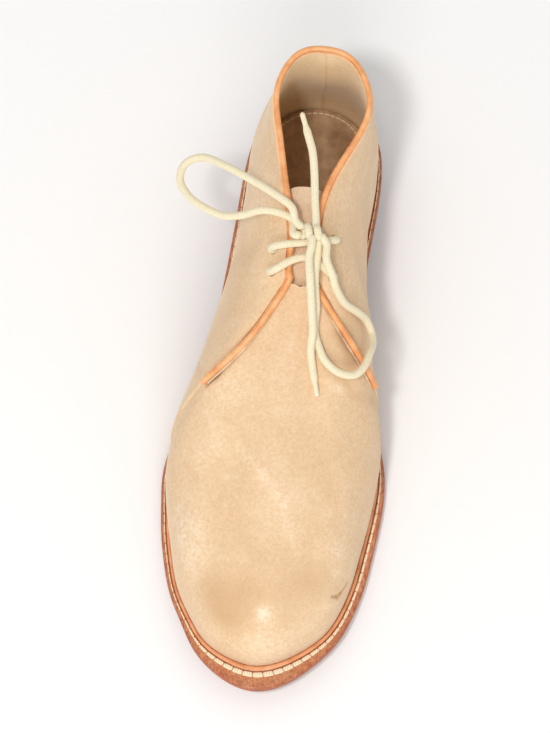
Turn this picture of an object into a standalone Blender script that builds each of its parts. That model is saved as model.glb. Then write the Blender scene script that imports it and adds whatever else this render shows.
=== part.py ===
"""Suede chukka boot for the right foot, standing empty on its sole.

Metres, +Z up. The toe points to -Y, the inner (medial) side is +X. The origin
is the middle of the sole's outline, on the floor.
"""
import math

import bmesh
import bpy
import numpy as np
from mathutils import Vector

for old in list(bpy.data.objects):
    bpy.data.objects.remove(old, do_unlink=True)

# Driving sizes
LENGTH = 0.305           # outsole, heel to toe
BALL_WIDTH = 0.1105      # outsole, across the ball
COLLAR_HEIGHT = 0.121    # floor to the top edge at the back
COLLAR_WIDTH = 0.048     # across the widest part of the top edge
THROAT_HEIGHT = 0.099    # floor to the foot of the lacing gap
THROAT_WIDTH = 0.016     # lacing gap, wall to wall
TOE_SPRING = 0.0115      # lift of the outsole at the toe tip
OUTSOLE_THICKNESS = 0.0045
WELT_THICKNESS = 0.0030
WELT_REACH = 0.0125      # welt showing in front of the toe
INSOLE_THICKNESS = 0.0035
HEEL_LENGTH = 0.074
LIFT_THICKNESS = 0.0055
LIFT_COUNT = 3
TOP_PIECE_THICKNESS = 0.0062
BELLY = 0.0045           # how far the upper swells past its foot
VAMP_WALL = 0.0020
FLAP_STEP = 0.0012       # thickness that the quarters add over the vamp
PIPING_DIAMETER = 0.0028
EYELET_DIAMETER = 0.0046
LACE_DIAMETER = 0.0038
TONGUE_WALL = 0.0022
TONGUE_TUCK = 0.011      # how far the tongue goes under each facing
GAP = 0.0003             # between pieces that touch

HEEL_HEIGHT = TOP_PIECE_THICKNESS + LIFT_COUNT * (LIFT_THICKNESS + GAP) + GAP
SEAT = OUTSOLE_THICKNESS + GAP + WELT_THICKNESS + GAP

# Sole outline: one row per station. "along" is the share of LENGTH from the
# heel, "inner" and "outer" are half widths as shares of BALL_WIDTH.
SOLE_ROWS = (
    # along, inner, outer
    (0.020, 0.175, 0.175),
    (0.060, 0.268, 0.268),
    (0.120, 0.306, 0.310),
    (0.200, 0.304, 0.324),
    (0.280, 0.290, 0.335),
    (0.360, 0.290, 0.353),
    (0.440, 0.321, 0.385),
    (0.500, 0.371, 0.421),
    (0.550, 0.425, 0.457),
    (0.600, 0.469, 0.496),
    (0.650, 0.483, 0.517),
    (0.700, 0.477, 0.507),
    (0.750, 0.462, 0.489),
    (0.800, 0.443, 0.459),
    (0.850, 0.409, 0.416),
    (0.900, 0.353, 0.346),
    (0.940, 0.272, 0.281),
    (0.970, 0.189, 0.199),
    (0.988, 0.118, 0.122),
)
FLAT_FROM, FLAT_TO = 0.60, 0.74      # stretch of the forepart that lies flat

# Upper: one row per line that runs from the welt to the top edge, in order
# round the boot from the back seam by the inner side. Columns: side (1 inner,
# -1 outer); "foot", share of LENGTH where the line starts; "inset", share of
# WELT_REACH; "swell", share of BELLY; "swell_up", share of the line's rise;
# "top", share of LENGTH where it ends; "throat" and "collar", its distance
# from the middle line in half THROAT_WIDTHs and half COLLAR_WIDTHs, added;
# "high", 0 at THROAT_HEIGHT and 1 at COLLAR_HEIGHT; "reach" and "drop", how
# far out and down the upper handle stands, as shares of the run and rise.
FLAP_FOOT_INNER, FLAP_FOOT_OUTER = 0.532, 0.612    # front edges of the quarters
# How each front edge bows to the toe: the most, in s; its spread to the toe side
# and to the heel side, in s; and how late up the line it comes and goes, as powers.
FLAP_BOW_INNER = (0.004, 0.05, 0.05, 3.0, 1.0)
FLAP_BOW_OUTER = (-0.028, 0.07, 0.02, 5.0, 0.7)
UPPER_ROWS = (
    # side, foot, inset, swell, swell_up, top, throat, collar, high, reach, drop
    (1, 0.000, 0.32, 1.00, 0.42, 0.034, 0.00, 0.05, 1.00, -1.50, 0.36),
    (1, 0.060, 0.32, 0.80, 0.42, 0.053, 0.00, 0.70, 0.99, -0.20, 0.35),
    (1, 0.140, 0.33, 0.60, 0.42, 0.102, 0.10, 1.00, 0.94, 0.20, 0.34),
    (1, 0.240, 0.34, 0.60, 0.42, 0.170, 0.36, 0.80, 0.84, 0.42, 0.34),
    (1, 0.340, 0.34, 2.70, 0.40, 0.248, 0.80, 0.24, 0.70, 0.80, 0.30),
    (1, 0.430, 0.30, 3.40, 0.38, 0.325, 1.06, 0.00, 0.52, 0.90, 0.24),
    (1, 0.482, 0.31, 3.20, 0.37, 0.366, 1.14, 0.00, 0.29, 0.88, 0.18),
    (1, FLAP_FOOT_INNER, 0.32, 2.80, 0.37, 0.390, 1.16, 0.00, 0.09, 0.79, 0.14),
    (1, 0.570, 0.34, 2.30, 0.39, 0.397, 1.08, 0.00, 0.03, 0.75, 0.15),
    (1, 0.650, 0.44, 1.50, 0.42, 0.401, 0.92, 0.00, 0.01, 0.66, 0.21),
    (1, 0.800, 0.52, 0.80, 0.44, 0.405, 0.64, 0.00, 0.00, 0.65, 0.36),
    (1, 0.930, 0.66, 0.50, 0.46, 0.407, 0.41, 0.00, 0.00, 0.66, 0.55),
    (1, 1.000, 1.00, 0.50, 0.45, 0.408, 0.24, 0.00, 0.00, 0.67, 0.58),
    (-1, 0.930, 0.50, 0.50, 0.46, 0.407, -0.06, 0.00, 0.00, 0.66, 0.55),
    (-1, 0.820, 0.35, 0.75, 0.44, 0.405, 0.10, 0.00, 0.00, 0.65, 0.36),
    (-1, 0.725, 0.34, 1.40, 0.42, 0.403, 0.46, 0.00, 0.01, 0.66, 0.21),
    (-1, 0.675, 0.32, 1.90, 0.40, 0.401, 0.64, 0.00, 0.03, 0.68, 0.15),
    (-1, FLAP_FOOT_OUTER, 0.32, 2.00, 0.38, 0.397, 0.76, 0.00, 0.08, 0.68, 0.13),
    (-1, 0.530, 0.32, 2.20, 0.37, 0.374, 0.84, 0.00, 0.25, 0.68, 0.17),
    (-1, 0.440, 0.34, 1.90, 0.38, 0.332, 0.88, 0.00, 0.51, 0.66, 0.22),
    (-1, 0.340, 0.36, 0.80, 0.40, 0.255, 0.96, 0.19, 0.69, 0.52, 0.30),
    (-1, 0.240, 0.36, 0.30, 0.42, 0.172, 0.36, 0.63, 0.83, 0.40, 0.34),
    (-1, 0.140, 0.34, 0.50, 0.42, 0.104, 0.00, 0.86, 0.94, 0.20, 0.34),
    (-1, 0.060, 0.32, 0.80, 0.42, 0.053, 0.00, 0.60, 0.99, -0.20, 0.35),
)

COLUMNS_ROUND = 72       # lines round the sole and the upper, an even number
RINGS_UP = 13            # rings from the welt to the top edge

parts = bpy.data.collections.new("chukka_boot")
cutters = bpy.data.collections.new("cutters")
bpy.context.scene.collection.children.link(parts)
bpy.context.scene.collection.children.link(cutters)


# Smooth curves through table rows
def closed_spline(knots, values, period):
    """Cubic spline through values at the knots that closes on itself."""
    knots, values = np.asarray(knots, float), np.asarray(values, float)
    count = len(knots)
    step = np.diff(np.append(knots, knots[0] + period))
    rise = (np.roll(values, -1, axis=0) - values) / step[:, None]
    system = np.zeros((count, count))
    for i in range(count):
        system[i, i - 1] += step[i - 1]
        system[i, i] += 2 * (step[i - 1] + step[i])
        system[i, (i + 1) % count] += step[i]
    bend = np.linalg.solve(system, 6 * (rise - np.roll(rise, 1, axis=0)))

    def at(t):
        t = (t - knots[0]) % period + knots[0]
        i = int(np.searchsorted(knots, t, side="right")) - 1
        j = (i + 1) % count
        width = step[i]
        a = (knots[i] + width - t) / width
        b = 1 - a
        cubic = (a**3 - a) * bend[i] + (b**3 - b) * bend[j]
        return a * values[i] + b * values[j] + cubic * width**2 / 6

    return at


# Sole outline in plan
def row_place(along, side, half):
    return (side * half * BALL_WIDTH, (0.5 - along) * LENGTH)


def outline_function():
    """Outline place for s from 0 (back seam) by the inner side to 0.5 (toe)."""
    inner = [row_place(along, 1, half) for along, half, _ in SOLE_ROWS]
    outer = [row_place(along, -1, half) for along, _, half in SOLE_ROWS]
    loop = [row_place(0, 1, 0)] + inner + [row_place(1, 1, 0)] + outer[::-1]
    loop = np.array(loop)
    run = np.hypot(*(np.roll(loop, -1, axis=0) - loop).T)
    travel = np.concatenate([[0], np.cumsum(run)[:-1]])
    toe = len(inner) + 1
    first = travel[:toe + 1] / travel[toe] / 2
    rest = 0.5 + (travel[toe + 1:] - travel[toe]) / (run.sum() - travel[toe]) / 2
    return closed_spline(np.concatenate([first, rest]), loop, 1.0)


outline_raw = outline_function()
FINE_COUNT = 720
FINE = [i / FINE_COUNT for i in range(FINE_COUNT)]
RAW = np.array([outline_raw(s) for s in FINE])
MIDDLE_X = (RAW[:, 0].max() + RAW[:, 0].min()) / 2
MIDDLE_Y = (RAW[:, 1].max() + RAW[:, 1].min()) / 2


def outline(s):
    return outline_raw(s) - (MIDDLE_X, MIDDLE_Y)


def outward(s):
    """Level direction square to the outline, pointing away from the foot."""
    dx, dy = outline(s + 0.002) - outline(s - 0.002)
    long = math.hypot(dx, dy)
    return np.array([-dy, dx]) / long


def line_of(side, along):
    """The s at which the outline passes a station on the given side."""
    span = FINE[:FINE_COUNT // 2 + 1]
    if side < 0:
        span = [1 - s for s in span]
    shares = [0.5 - (outline(s)[1] + MIDDLE_Y) / LENGTH for s in span]
    return float(np.interp(along, shares, span))


# Underside of the outsole over the floor
ARCH_SETTLE = 0.01       # share of LENGTH that lies level in front of the heel
SPRING_POWER = 1.8       # how suddenly the toe lifts


def ease(t):
    t = min(max(t, 0), 1)
    return t * t * (3 - 2 * t)


def floor_lift(y):
    along = 0.5 - (y + MIDDLE_Y) / LENGTH
    breast = HEEL_LENGTH / LENGTH
    arch = ease((FLAT_FROM - along) / (FLAT_FROM - breast - ARCH_SETTLE))
    spring = max(0, (along - FLAT_TO) / (1 - FLAT_TO)) ** SPRING_POWER
    return HEEL_HEIGHT * arch + TOE_SPRING * spring


# Upper surface
def upper_rows():
    knots, values = [], []
    for row in UPPER_ROWS:
        side, foot, inset, swell, swell_up, top = row[:6]
        throat, collar, high, reach, drop = row[6:]
        knots.append(line_of(side, foot) % 1)
        half = (throat * THROAT_WIDTH + collar * COLLAR_WIDTH) / 2
        top_y = (0.5 - top) * LENGTH - MIDDLE_Y
        top_z = THROAT_HEIGHT + high * (COLLAR_HEIGHT - THROAT_HEIGHT)
        values.append((inset * WELT_REACH, swell * BELLY, swell_up,
                       side * half - MIDDLE_X, top_y, top_z, reach, drop))
    return closed_spline(knots, values, 1.0)


row_at = upper_rows()
FLAP_INNER = line_of(1, FLAP_FOOT_INNER)
FLAP_OUTER = line_of(-1, FLAP_FOOT_OUTER)


def foot_place(s, extra=0.0):
    """Where the upper's skin meets the welt, moved in by extra."""
    return outline(s) - outward(s) * (row_at(s)[0] + extra)


def flap_bow(s, t):
    """Shift in s that carries the quarters' front edges to the toe at mid height."""
    bow = 0.0
    for flap, sizes in ((FLAP_INNER, FLAP_BOW_INNER), (FLAP_OUTER, FLAP_BOW_OUTER)):
        most, to_toe, to_heel, late, soon = sizes
        peak = late / (late + soon)
        spread = to_toe if abs(s - 0.5) < abs(flap - 0.5) else to_heel
        share = (t / peak) ** late * ((1 - t) / (1 - peak)) ** soon
        bow += most * share * math.exp(-((s - flap) / spread) ** 2)
    return bow


def upper_line(s, t):
    """Place on the vamp's skin: t is 0 at the welt and 1 at the top edge."""
    s += flap_bow(s % 1, t)
    inset, swell, swell_up, top_x, top_y, top_z, reach, drop = row_at(s)
    out = outward(s)
    foot = outline(s) - out * inset
    low = floor_lift(foot[1]) + SEAT
    rise = top_z - low
    first = np.array([*foot, low])
    last = np.array([top_x, top_y, top_z])
    run = first - last
    second = first + (*out * swell, rise * swell_up)
    third = last + (run[0] * reach, run[1] * reach, -rise * drop)
    u = 1 - t
    return u**3 * first + 3 * u * u * t * second + 3 * u * t * t * third + t**3 * last


def unit(vector):
    return vector / np.linalg.norm(vector)


def skin_frame(s, t):
    """Unit directions at a place on the skin: round, up and out."""
    below, above = max(t - 0.01, 0), min(t + 0.01, 1)
    up = unit(upper_line(s, above) - upper_line(s, below))
    along = unit(upper_line(s + 0.003, t) - upper_line(s - 0.003, t))
    return along, up, unit(np.cross(up, along))


def skin_place(s, t, height=0.0):
    """Place at a height over the vamp's skin, or under it if negative."""
    place = upper_line(s, t) + skin_frame(s, t)[2] * height
    if t == 0:
        place[2] = floor_lift(place[1]) + SEAT
    return place


# Mesh makers
def add_object(name, mesh, material):
    mesh.materials.append(material)
    mesh.set_sharp_from_angle(angle=math.radians(40))
    thing = bpy.data.objects.new(name, mesh)
    parts.objects.link(thing)
    return thing


def finish(name, maker, material):
    """Turn a bmesh into a smooth-shaded object whose faces point out."""
    bmesh.ops.recalc_face_normals(maker, faces=maker.faces)
    mesh = bpy.data.meshes.new(name)
    maker.to_mesh(mesh)
    maker.free()
    mesh.shade_smooth()
    return add_object(name, mesh, material)


def paint(name, colour, roughness):
    material = bpy.data.materials.new(name)
    material.use_nodes = True
    shader = material.node_tree.nodes["Principled BSDF"]
    shader.inputs["Base Color"].default_value = (*colour, 1)
    shader.inputs["Roughness"].default_value = roughness
    return material


def join_rings(maker, low, high):
    count = len(low)
    for i in range(count):
        j = (i + 1) % count
        maker.faces.new((low[i], low[j], high[j], high[i]))


def close_across(maker, ring):
    """Cap a ring by strips from each inner-side vertex to its outer mate."""
    count = len(ring)
    half = count // 2
    maker.faces.new((ring[0], ring[1], ring[count - 1]))
    for i in range(1, half - 1):
        maker.faces.new((ring[i], ring[i + 1], ring[count - i - 1], ring[count - i]))
    maker.faces.new((ring[half - 1], ring[half], ring[half + 1]))


def plate(name, rings, material):
    """Closed plate from rings of places, the first and last capped."""
    maker = bmesh.new()
    rows = [[maker.verts.new(place) for place in ring] for ring in rings]
    for low, high in zip(rows, rows[1:]):
        join_rings(maker, low, high)
    close_across(maker, rows[0])
    close_across(maker, rows[-1])
    return finish(name, maker, material)


def hoop(name, rings, material):
    """Closed band: the last ring joins the first."""
    maker = bmesh.new()
    rows = [[maker.verts.new(place) for place in ring] for ring in rings]
    for low, high in zip(rows, rows[1:] + rows[:1]):
        join_rings(maker, low, high)
    return finish(name, maker, material)


def cord(name, places, diameter, material, resolution=2):
    curve = bpy.data.curves.new(name, "CURVE")
    curve.dimensions = "3D"
    curve.bevel_depth = diameter / 2
    curve.bevel_resolution = resolution
    curve.use_fill_caps = True
    spline = curve.splines.new("POLY")
    spline.points.add(len(places) - 1)
    for point, place in zip(spline.points, places):
        point.co = (*place, 1)
    curve.materials.append(material)
    thing = bpy.data.objects.new(name, curve)
    parts.objects.link(thing)
    return thing


LINES = [i / COLUMNS_ROUND for i in range(COLUMNS_ROUND)]


def sole_ring(inset, height):
    """Ring at an inset from the sole's outline, following the sole's bend."""
    ring = []
    for s in LINES:
        x, y = outline(s) - outward(s) * inset
        ring.append((x, y, floor_lift(y) + height))
    return ring


# Outsole: leather, its edge rounded at the bottom and set back under the welt
EDGE_ROUND = 0.0014
EDGE_SETBACK = 0.0005


def make_outsole():
    material = paint("edge_leather", (0.42, 0.13, 0.06), 0.55)
    rings = (
        sole_ring(EDGE_SETBACK + EDGE_ROUND, 0),
        sole_ring(EDGE_SETBACK + EDGE_ROUND * 0.3, EDGE_ROUND * 0.3),
        sole_ring(EDGE_SETBACK, EDGE_ROUND),
        sole_ring(EDGE_SETBACK, OUTSOLE_THICKNESS),
    )
    return plate("outsole", rings, material)


# Welt: a strip with a rounded lip and a groove, under the upper's wall
WELT_GROOVE = 0.0009
WELT_GROOVE_DEPTH = 0.0006
GROOVE_OUT = 0.38        # place of the groove, as a share of what shows


def welt_ring(share, height, extra=0.0):
    """share 0 is the lip and 1 the foot of the upper; extra moves it in."""
    ring = []
    base = OUTSOLE_THICKNESS + GAP
    for s in LINES:
        inset = row_at(s)[0] * share + extra
        x, y = outline(s) - outward(s) * inset
        ring.append((x, y, floor_lift(y) + base + height))
    return ring


def make_welt():
    material = paint("welt_leather", (0.80, 0.40, 0.18), 0.5)
    top = WELT_THICKNESS
    rings = (
        welt_ring(1, 0, VAMP_WALL),
        welt_ring(0, 0, EDGE_SETBACK),
        welt_ring(0, top * 0.35),
        welt_ring(0, top * 0.75),
        welt_ring(0, top, top * 0.25),
        welt_ring(1 - GROOVE_OUT, top, -WELT_GROOVE / 2),
        welt_ring(1 - GROOVE_OUT, top - WELT_GROOVE_DEPTH),
        welt_ring(1 - GROOVE_OUT, top, WELT_GROOVE / 2),
        welt_ring(1, top, VAMP_WALL),
    )
    return hoop("welt", rings, material)


# Insole with its filler, inside the welt and the upper's wall
def insole_ring(height):
    ring = []
    for s in LINES:
        x, y = foot_place(s, VAMP_WALL + GAP * 2)
        ring.append((x, y, floor_lift(y) + height))
    return ring


def make_insole():
    material = paint("insole_leather", (0.55, 0.38, 0.22), 0.7)
    bottom = OUTSOLE_THICKNESS + GAP
    top = SEAT + INSOLE_THICKNESS
    return plate("insole", (insole_ring(bottom), insole_ring(top)), material)


# Heel: lifts cut to the sole's outline, with a rubber top piece below
HEEL_SETBACK = 0.0010
BREAST_CURVE = 0.0030
BREAST_STEPS = 6
HEEL_TAPER = 0.0012


def heel_ring(inset, z):
    """Flat ring round the heel, closed by a breast that curves to the back."""
    breast_y = (0.5 * LENGTH - MIDDLE_Y) - HEEL_LENGTH
    front = HEEL_LENGTH / LENGTH
    inner, outer = line_of(1, front), line_of(-1, front)
    count = COLUMNS_ROUND // 3
    ring = []
    for i in range(count + 1):
        s = outer + (inner + 1 - outer) * i / count
        ring.append(outline(s) - outward(s) * inset)
    start, end = ring[-1], ring[0]
    for i in range(1, BREAST_STEPS):
        share = i / BREAST_STEPS
        x = start[0] + (end[0] - start[0]) * share
        hollow = BREAST_CURVE * math.sin(math.pi * share)
        ring.append((x, breast_y + inset + hollow))
    return [(x, y, z) for x, y in ring]


def heel_piece(name, low_inset, high_inset, low, high, material):
    maker = bmesh.new()
    rows = []
    for inset, z in ((low_inset, low), (high_inset, high)):
        rows.append([maker.verts.new(place) for place in heel_ring(inset, z)])
    join_rings(maker, *rows)
    maker.faces.new(rows[0])
    maker.faces.new(rows[1])
    return finish(name, maker, material)


def make_heel():
    rubber = paint("heel_rubber", (0.05, 0.04, 0.035), 0.75)
    leather = paint("heel_leather", (0.40, 0.13, 0.06), 0.5)
    low = HEEL_SETBACK + HEEL_TAPER
    heel_piece("heel_top_piece", low, low, 0, TOP_PIECE_THICKNESS, rubber)
    z = TOP_PIECE_THICKNESS + GAP
    for i in range(LIFT_COUNT):
        bottom = low - HEEL_TAPER * i / LIFT_COUNT
        top = low - HEEL_TAPER * (i + 1) / LIFT_COUNT
        heel_piece(f"heel_lift_{i + 1}", bottom, top, z, z + LIFT_THICKNESS, leather)
        z += LIFT_THICKNESS + GAP


# Upper: one wall, thicker by a step where the quarters lie over the vamp
STEP_WIDTH = 0.0006      # s on either side of a flap's edge line
FLAP_ROOM = 0.6          # columns kept free beside a flap's edge line


def upper_columns():
    """Lines round the upper as (s, height of the skin over the vamp's)."""
    columns = []
    for s in LINES:
        if min(abs(s - FLAP_INNER), abs(s - FLAP_OUTER)) > FLAP_ROOM / COLUMNS_ROUND:
            quarter = not FLAP_INNER < s < FLAP_OUTER
            columns.append((s, FLAP_STEP if quarter else 0.0))
    columns.append((FLAP_INNER - STEP_WIDTH, FLAP_STEP))
    columns.append((FLAP_INNER + STEP_WIDTH, 0.0))
    columns.append((FLAP_OUTER - STEP_WIDTH, 0.0))
    columns.append((FLAP_OUTER + STEP_WIDTH, FLAP_STEP))
    return sorted(columns)


def make_upper():
    material = paint("suede", (0.78, 0.58, 0.36), 0.95)
    columns = upper_columns()
    heights = [i / RINGS_UP for i in range(RINGS_UP + 1)]
    rings = [[skin_place(s, t, skin) for s, skin in columns] for t in heights]
    rings += [[skin_place(s, t, -VAMP_WALL) for s, _ in columns] for t in heights[::-1]]
    return hoop("upper", rings, material)


# Eyelets: two punched through each facing
EYELET_ROWS = (
    # side, share of LENGTH of the line's foot, distance in from the edge
    (1, 0.405, 0.0125),
    (1, 0.468, 0.0140),
    (-1, 0.452, 0.0095),
    (-1, 0.515, 0.0100),
)
PUNCH_DEPTH = 0.012
PUNCH_SIDES = 12
EDGE_STRIDE = 0.005      # step in t when measuring down from the top edge


def down_from_edge(s, distance):
    """The t at which a line is a distance below the top edge."""
    t, travelled = 1.0, 0.0
    while travelled < distance:
        travelled += np.linalg.norm(upper_line(s, t) - upper_line(s, t - EDGE_STRIDE))
        t -= EDGE_STRIDE
    return t


def eyelet_frames():
    """Each eyelet as (place on the quarter's skin, outward direction)."""
    frames = []
    for side, foot, inset in EYELET_ROWS:
        s = line_of(side, foot)
        t = down_from_edge(s, inset)
        frames.append((skin_place(s, t, FLAP_STEP), skin_frame(s, t)[2]))
    return frames


def cut_eyelets(body):
    for i, (place, out) in enumerate(eyelet_frames()):
        maker = bmesh.new()
        radius = EYELET_DIAMETER / 2
        bmesh.ops.create_cone(maker, cap_ends=True, segments=PUNCH_SIDES,
                              radius1=radius, radius2=radius, depth=PUNCH_DEPTH)
        mesh = bpy.data.meshes.new(f"eyelet_cutter_{i + 1}")
        maker.to_mesh(mesh)
        maker.free()
        cutter = bpy.data.objects.new(mesh.name, mesh)
        cutters.objects.link(cutter)
        cutter.location = place
        cutter.rotation_mode = "QUATERNION"
        cutter.rotation_quaternion = Vector(out).to_track_quat("Z", "Y")
        cutter.hide_render = True
        cutter.display_type = "WIRE"
        cut = body.modifiers.new(f"eyelet_{i + 1}", "BOOLEAN")
        cut.operation = "DIFFERENCE"
        cut.solver = "EXACT"
        cut.object = cutter


# Tongue: a leaf under the facings, from the foot of the gap into the opening
TONGUE_CLEAR = 0.0006
TONGUE_SINK = 0.0013     # how much deeper it lies at the facing edges
TONGUE_TOP = 0.266       # share of LENGTH at the tongue's top edge
TONGUE_STEPS = 9
TONGUE_TUCK_STEPS = 3
TONGUE_SPAN_STEPS = 4
TONGUE_CROWN = 0.7       # fullness of the tongue between the facings
TONGUE_FRONT = 1.2       # columns between the flap's line and the tongue
TONGUE_ROOT = 0.45       # s at the middle of its sewn foot, under the vamp
TONGUE_ROOT_STEPS = 3
TONGUE_FEET = (0.10, 0.55)      # shares of LENGTH searched for its top corners


def line_by_top(side, top):
    """The line on a side whose top end stands at a share of LENGTH."""
    feet = np.linspace(*TONGUE_FEET, 91)
    tops = []
    for foot in feet:
        tops.append(0.5 - (row_at(line_of(side, foot))[4] + MIDDLE_Y) / LENGTH)
    return line_of(side, float(np.interp(top, tops, feet)))


def tongue_strip(inner, outer, depth):
    """Row of places across the tongue, at a depth under the vamp's skin."""
    def tucked(s):
        low = down_from_edge(s, TONGUE_TUCK)
        places = []
        for i in range(TONGUE_TUCK_STEPS + 1):
            share = i / TONGUE_TUCK_STEPS
            sunk = depth + TONGUE_SINK * share
            places.append(skin_place(s, low + (1 - low) * share, -sunk))
        return places

    left, right = tucked(inner), tucked(outer)[::-1]
    start, end = left[-1], right[0]
    span = np.linalg.norm(end - start)
    leave = unit(start - left[-2]) * span * TONGUE_CROWN
    arrive = unit(right[1] - end) * span * TONGUE_CROWN
    strip = list(left)
    for i in range(1, TONGUE_SPAN_STEPS):
        u = i / TONGUE_SPAN_STEPS
        rise = u * (1 - u) ** 2 * leave - u * u * (1 - u) * arrive
        strip.append(start + (end - start) * u * u * (3 - 2 * u) + rise)
    return strip + right


def make_tongue():
    material = paint("tongue_suede", (0.74, 0.54, 0.34), 0.95)
    inner_top, outer_top = line_by_top(1, TONGUE_TOP), line_by_top(-1, TONGUE_TOP)
    depth = VAMP_WALL + TONGUE_CLEAR
    front = TONGUE_FRONT / COLUMNS_ROUND
    maker = bmesh.new()
    skins = []
    for level in (depth, depth + TONGUE_WALL):
        rows = []
        for i in range(-TONGUE_ROOT_STEPS, TONGUE_STEPS + 1):
            u = i / TONGUE_STEPS if i > 0 else -i / TONGUE_ROOT_STEPS
            inner_end = inner_top if i > 0 else TONGUE_ROOT
            outer_end = outer_top if i > 0 else 1 - TONGUE_ROOT
            inner = (FLAP_INNER + front) + (inner_end - FLAP_INNER - front) * u
            outer = (FLAP_OUTER - front) + (outer_end - FLAP_OUTER + front) * u
            strip = tongue_strip(inner, outer, level)
            rows.append([maker.verts.new(place) for place in strip])
        skins.append(rows)
    for rows in skins:
        for low, high in zip(rows, rows[1:]):
            for i in range(len(low) - 1):
                maker.faces.new((low[i], low[i + 1], high[i + 1], high[i]))
    over, under = skins
    border = [over[0], [row[-1] for row in over], over[-1][::-1], [row[0] for row in over][::-1]]
    mates = [under[0], [row[-1] for row in under], under[-1][::-1], [row[0] for row in under][::-1]]
    for edge, mate in zip(border, mates):
        for i in range(len(edge) - 1):
            maker.faces.new((edge[i], edge[i + 1], mate[i + 1], mate[i]))
    return finish("tongue", maker, material)


# Piping: a round leather binding along both flap edges and the top edge
PIPING_CLEAR = 0.0006
PIPING_FROM_INNER = 0.44         # t on the flap lines where the piping begins
PIPING_FROM_OUTER = 0.59
PIPING_TO = 0.975        # t on the flap lines where it turns the corner
PIPING_TURN = (0.15, 0.50, 0.85)
FLAP_POINTS = 11
EDGE_POINTS = 64
PIPING_SETTLE = 0.030    # stretch of s in which it sinks level with the wall


def square_to(line, out, towards):
    """Direction in the skin, square to a line on it, on the wanted side."""
    aim = unit(np.cross(line, out))
    return aim if aim @ towards > 0 else -aim


def piping_route():
    """From the outer flap's foot, round the collar, to the inner flap's foot."""
    away = PIPING_DIAMETER / 2 + PIPING_CLEAR
    level = (FLAP_STEP - VAMP_WALL) / 2

    def flap(s, vamp_side, begin):
        places = []
        for t in np.linspace(begin, PIPING_TO, FLAP_POINTS):
            along, up, out = skin_frame(s, t)
            aim = square_to(up, out, along * vamp_side)
            places.append(upper_line(s, t) + (out + aim) * away)
        return places

    def corner(s, vamp_side):
        along, up, out = skin_frame(s, 1)
        side, front = square_to(up, out, along * vamp_side), square_to(along, out, up)
        places = []
        for share in PIPING_TURN:
            aim = unit(side * (1 - share) + front * share)
            places.append(upper_line(s, 1) + (aim + out) * away)
        return places

    def edge(start, stop, count):
        places = []
        for i in range(1, count):
            s = start + (stop - start) * i / count
            nearest = min(s - start, stop - s)
            height = away + (level - away) * ease(nearest / PIPING_SETTLE)
            along, up, out = skin_frame(s % 1, 1)
            front = square_to(along, out, up)
            places.append(upper_line(s % 1, 1) + front * away + out * height)
        return places

    outer = flap(FLAP_OUTER - STEP_WIDTH, -1, PIPING_FROM_OUTER) + corner(FLAP_OUTER, -1)
    inner = flap(FLAP_INNER + STEP_WIDTH, 1, PIPING_FROM_INNER) + corner(FLAP_INNER, 1)
    return outer + edge(FLAP_OUTER, FLAP_INNER + 1, EDGE_POINTS) + inner[::-1]


def make_piping():
    material = paint("piping_leather", (0.86, 0.42, 0.18), 0.45)
    return cord("piping", piping_route(), PIPING_DIAMETER, material)


# Lace bars: one stretch across each pair of eyelets, over the facings
BAR_FOOT = 0.0015        # start of a bar over its eyelet
BAR_CREST = 0.0071       # how far it bows up between the facings
BAR_STEPS = 9
BAR_PULL = 0.0085        # how far the knot draws the lower bar back


def bar_places(inner, outer, pull=0.0):
    (start, start_out), (end, end_out) = inner, outer
    places = []
    for i in range(BAR_STEPS + 1):
        u = i / BAR_STEPS
        out = unit(start_out * (1 - u) + end_out * u)
        bow = BAR_CREST * (1 - (2 * u - 1) ** 4)
        straight = start * (1 - u) + end * u
        drawn = pull * math.sin(math.pi * u) ** 2
        places.append(straight + out * (BAR_FOOT + bow) + (0, drawn, 0))
    return places


def make_bars(material):
    frames = eyelet_frames()
    cord("lace_bar_upper", bar_places(frames[0], frames[2]), LACE_DIAMETER, material)
    lower = bar_places(frames[1], frames[3], BAR_PULL)
    cord("lace_bar_lower", lower, LACE_DIAMETER, material)


# Bow: knot, two loops and two ends. Rows of three are places from the middle of
# the knot: to the inner side, to the back, up. Rows of four lie on the upper:
# round it (s), up it (t), gap under the lace, and 0.
KNOT_RISE = 0.0070       # middle of the knot over the upper bar's crest
KNOT_BACK = 0.0024
KNOT_RADIUS = 0.0025
KNOT_LENGTH = 0.0086
KNOT_TURNS = 2
KNOT_POINTS = 17
KNOT_START = 3.5         # radians round the knot where its coil begins
LOOP_LEFT = (
    # inward, back, up
    (-0.0083, 0.0048, 0.0012),
    (-0.0111, 0.0108, 0.0035),
    (-0.0217, 0.0176, 0.0023),
    (-0.0327, 0.0238, -0.0003),
    (-0.0451, 0.0302, -0.0038),
    (-0.0562, 0.0350, -0.0083),
    (-0.0646, 0.0323, -0.0118),
    (-0.0666, 0.0250, -0.0143),
    (-0.0628, 0.0181, -0.0143),
    (-0.0560, 0.0125, -0.0128),
    (-0.0443, 0.0072, -0.0103),
    (-0.0348, 0.0073, -0.0076),
    (-0.0256, 0.0101, -0.0053),
    (-0.0167, 0.0098, -0.0045),
    (-0.0095, 0.0064, -0.0036),
    (-0.0083, -0.0016, -0.0008),
)
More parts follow.
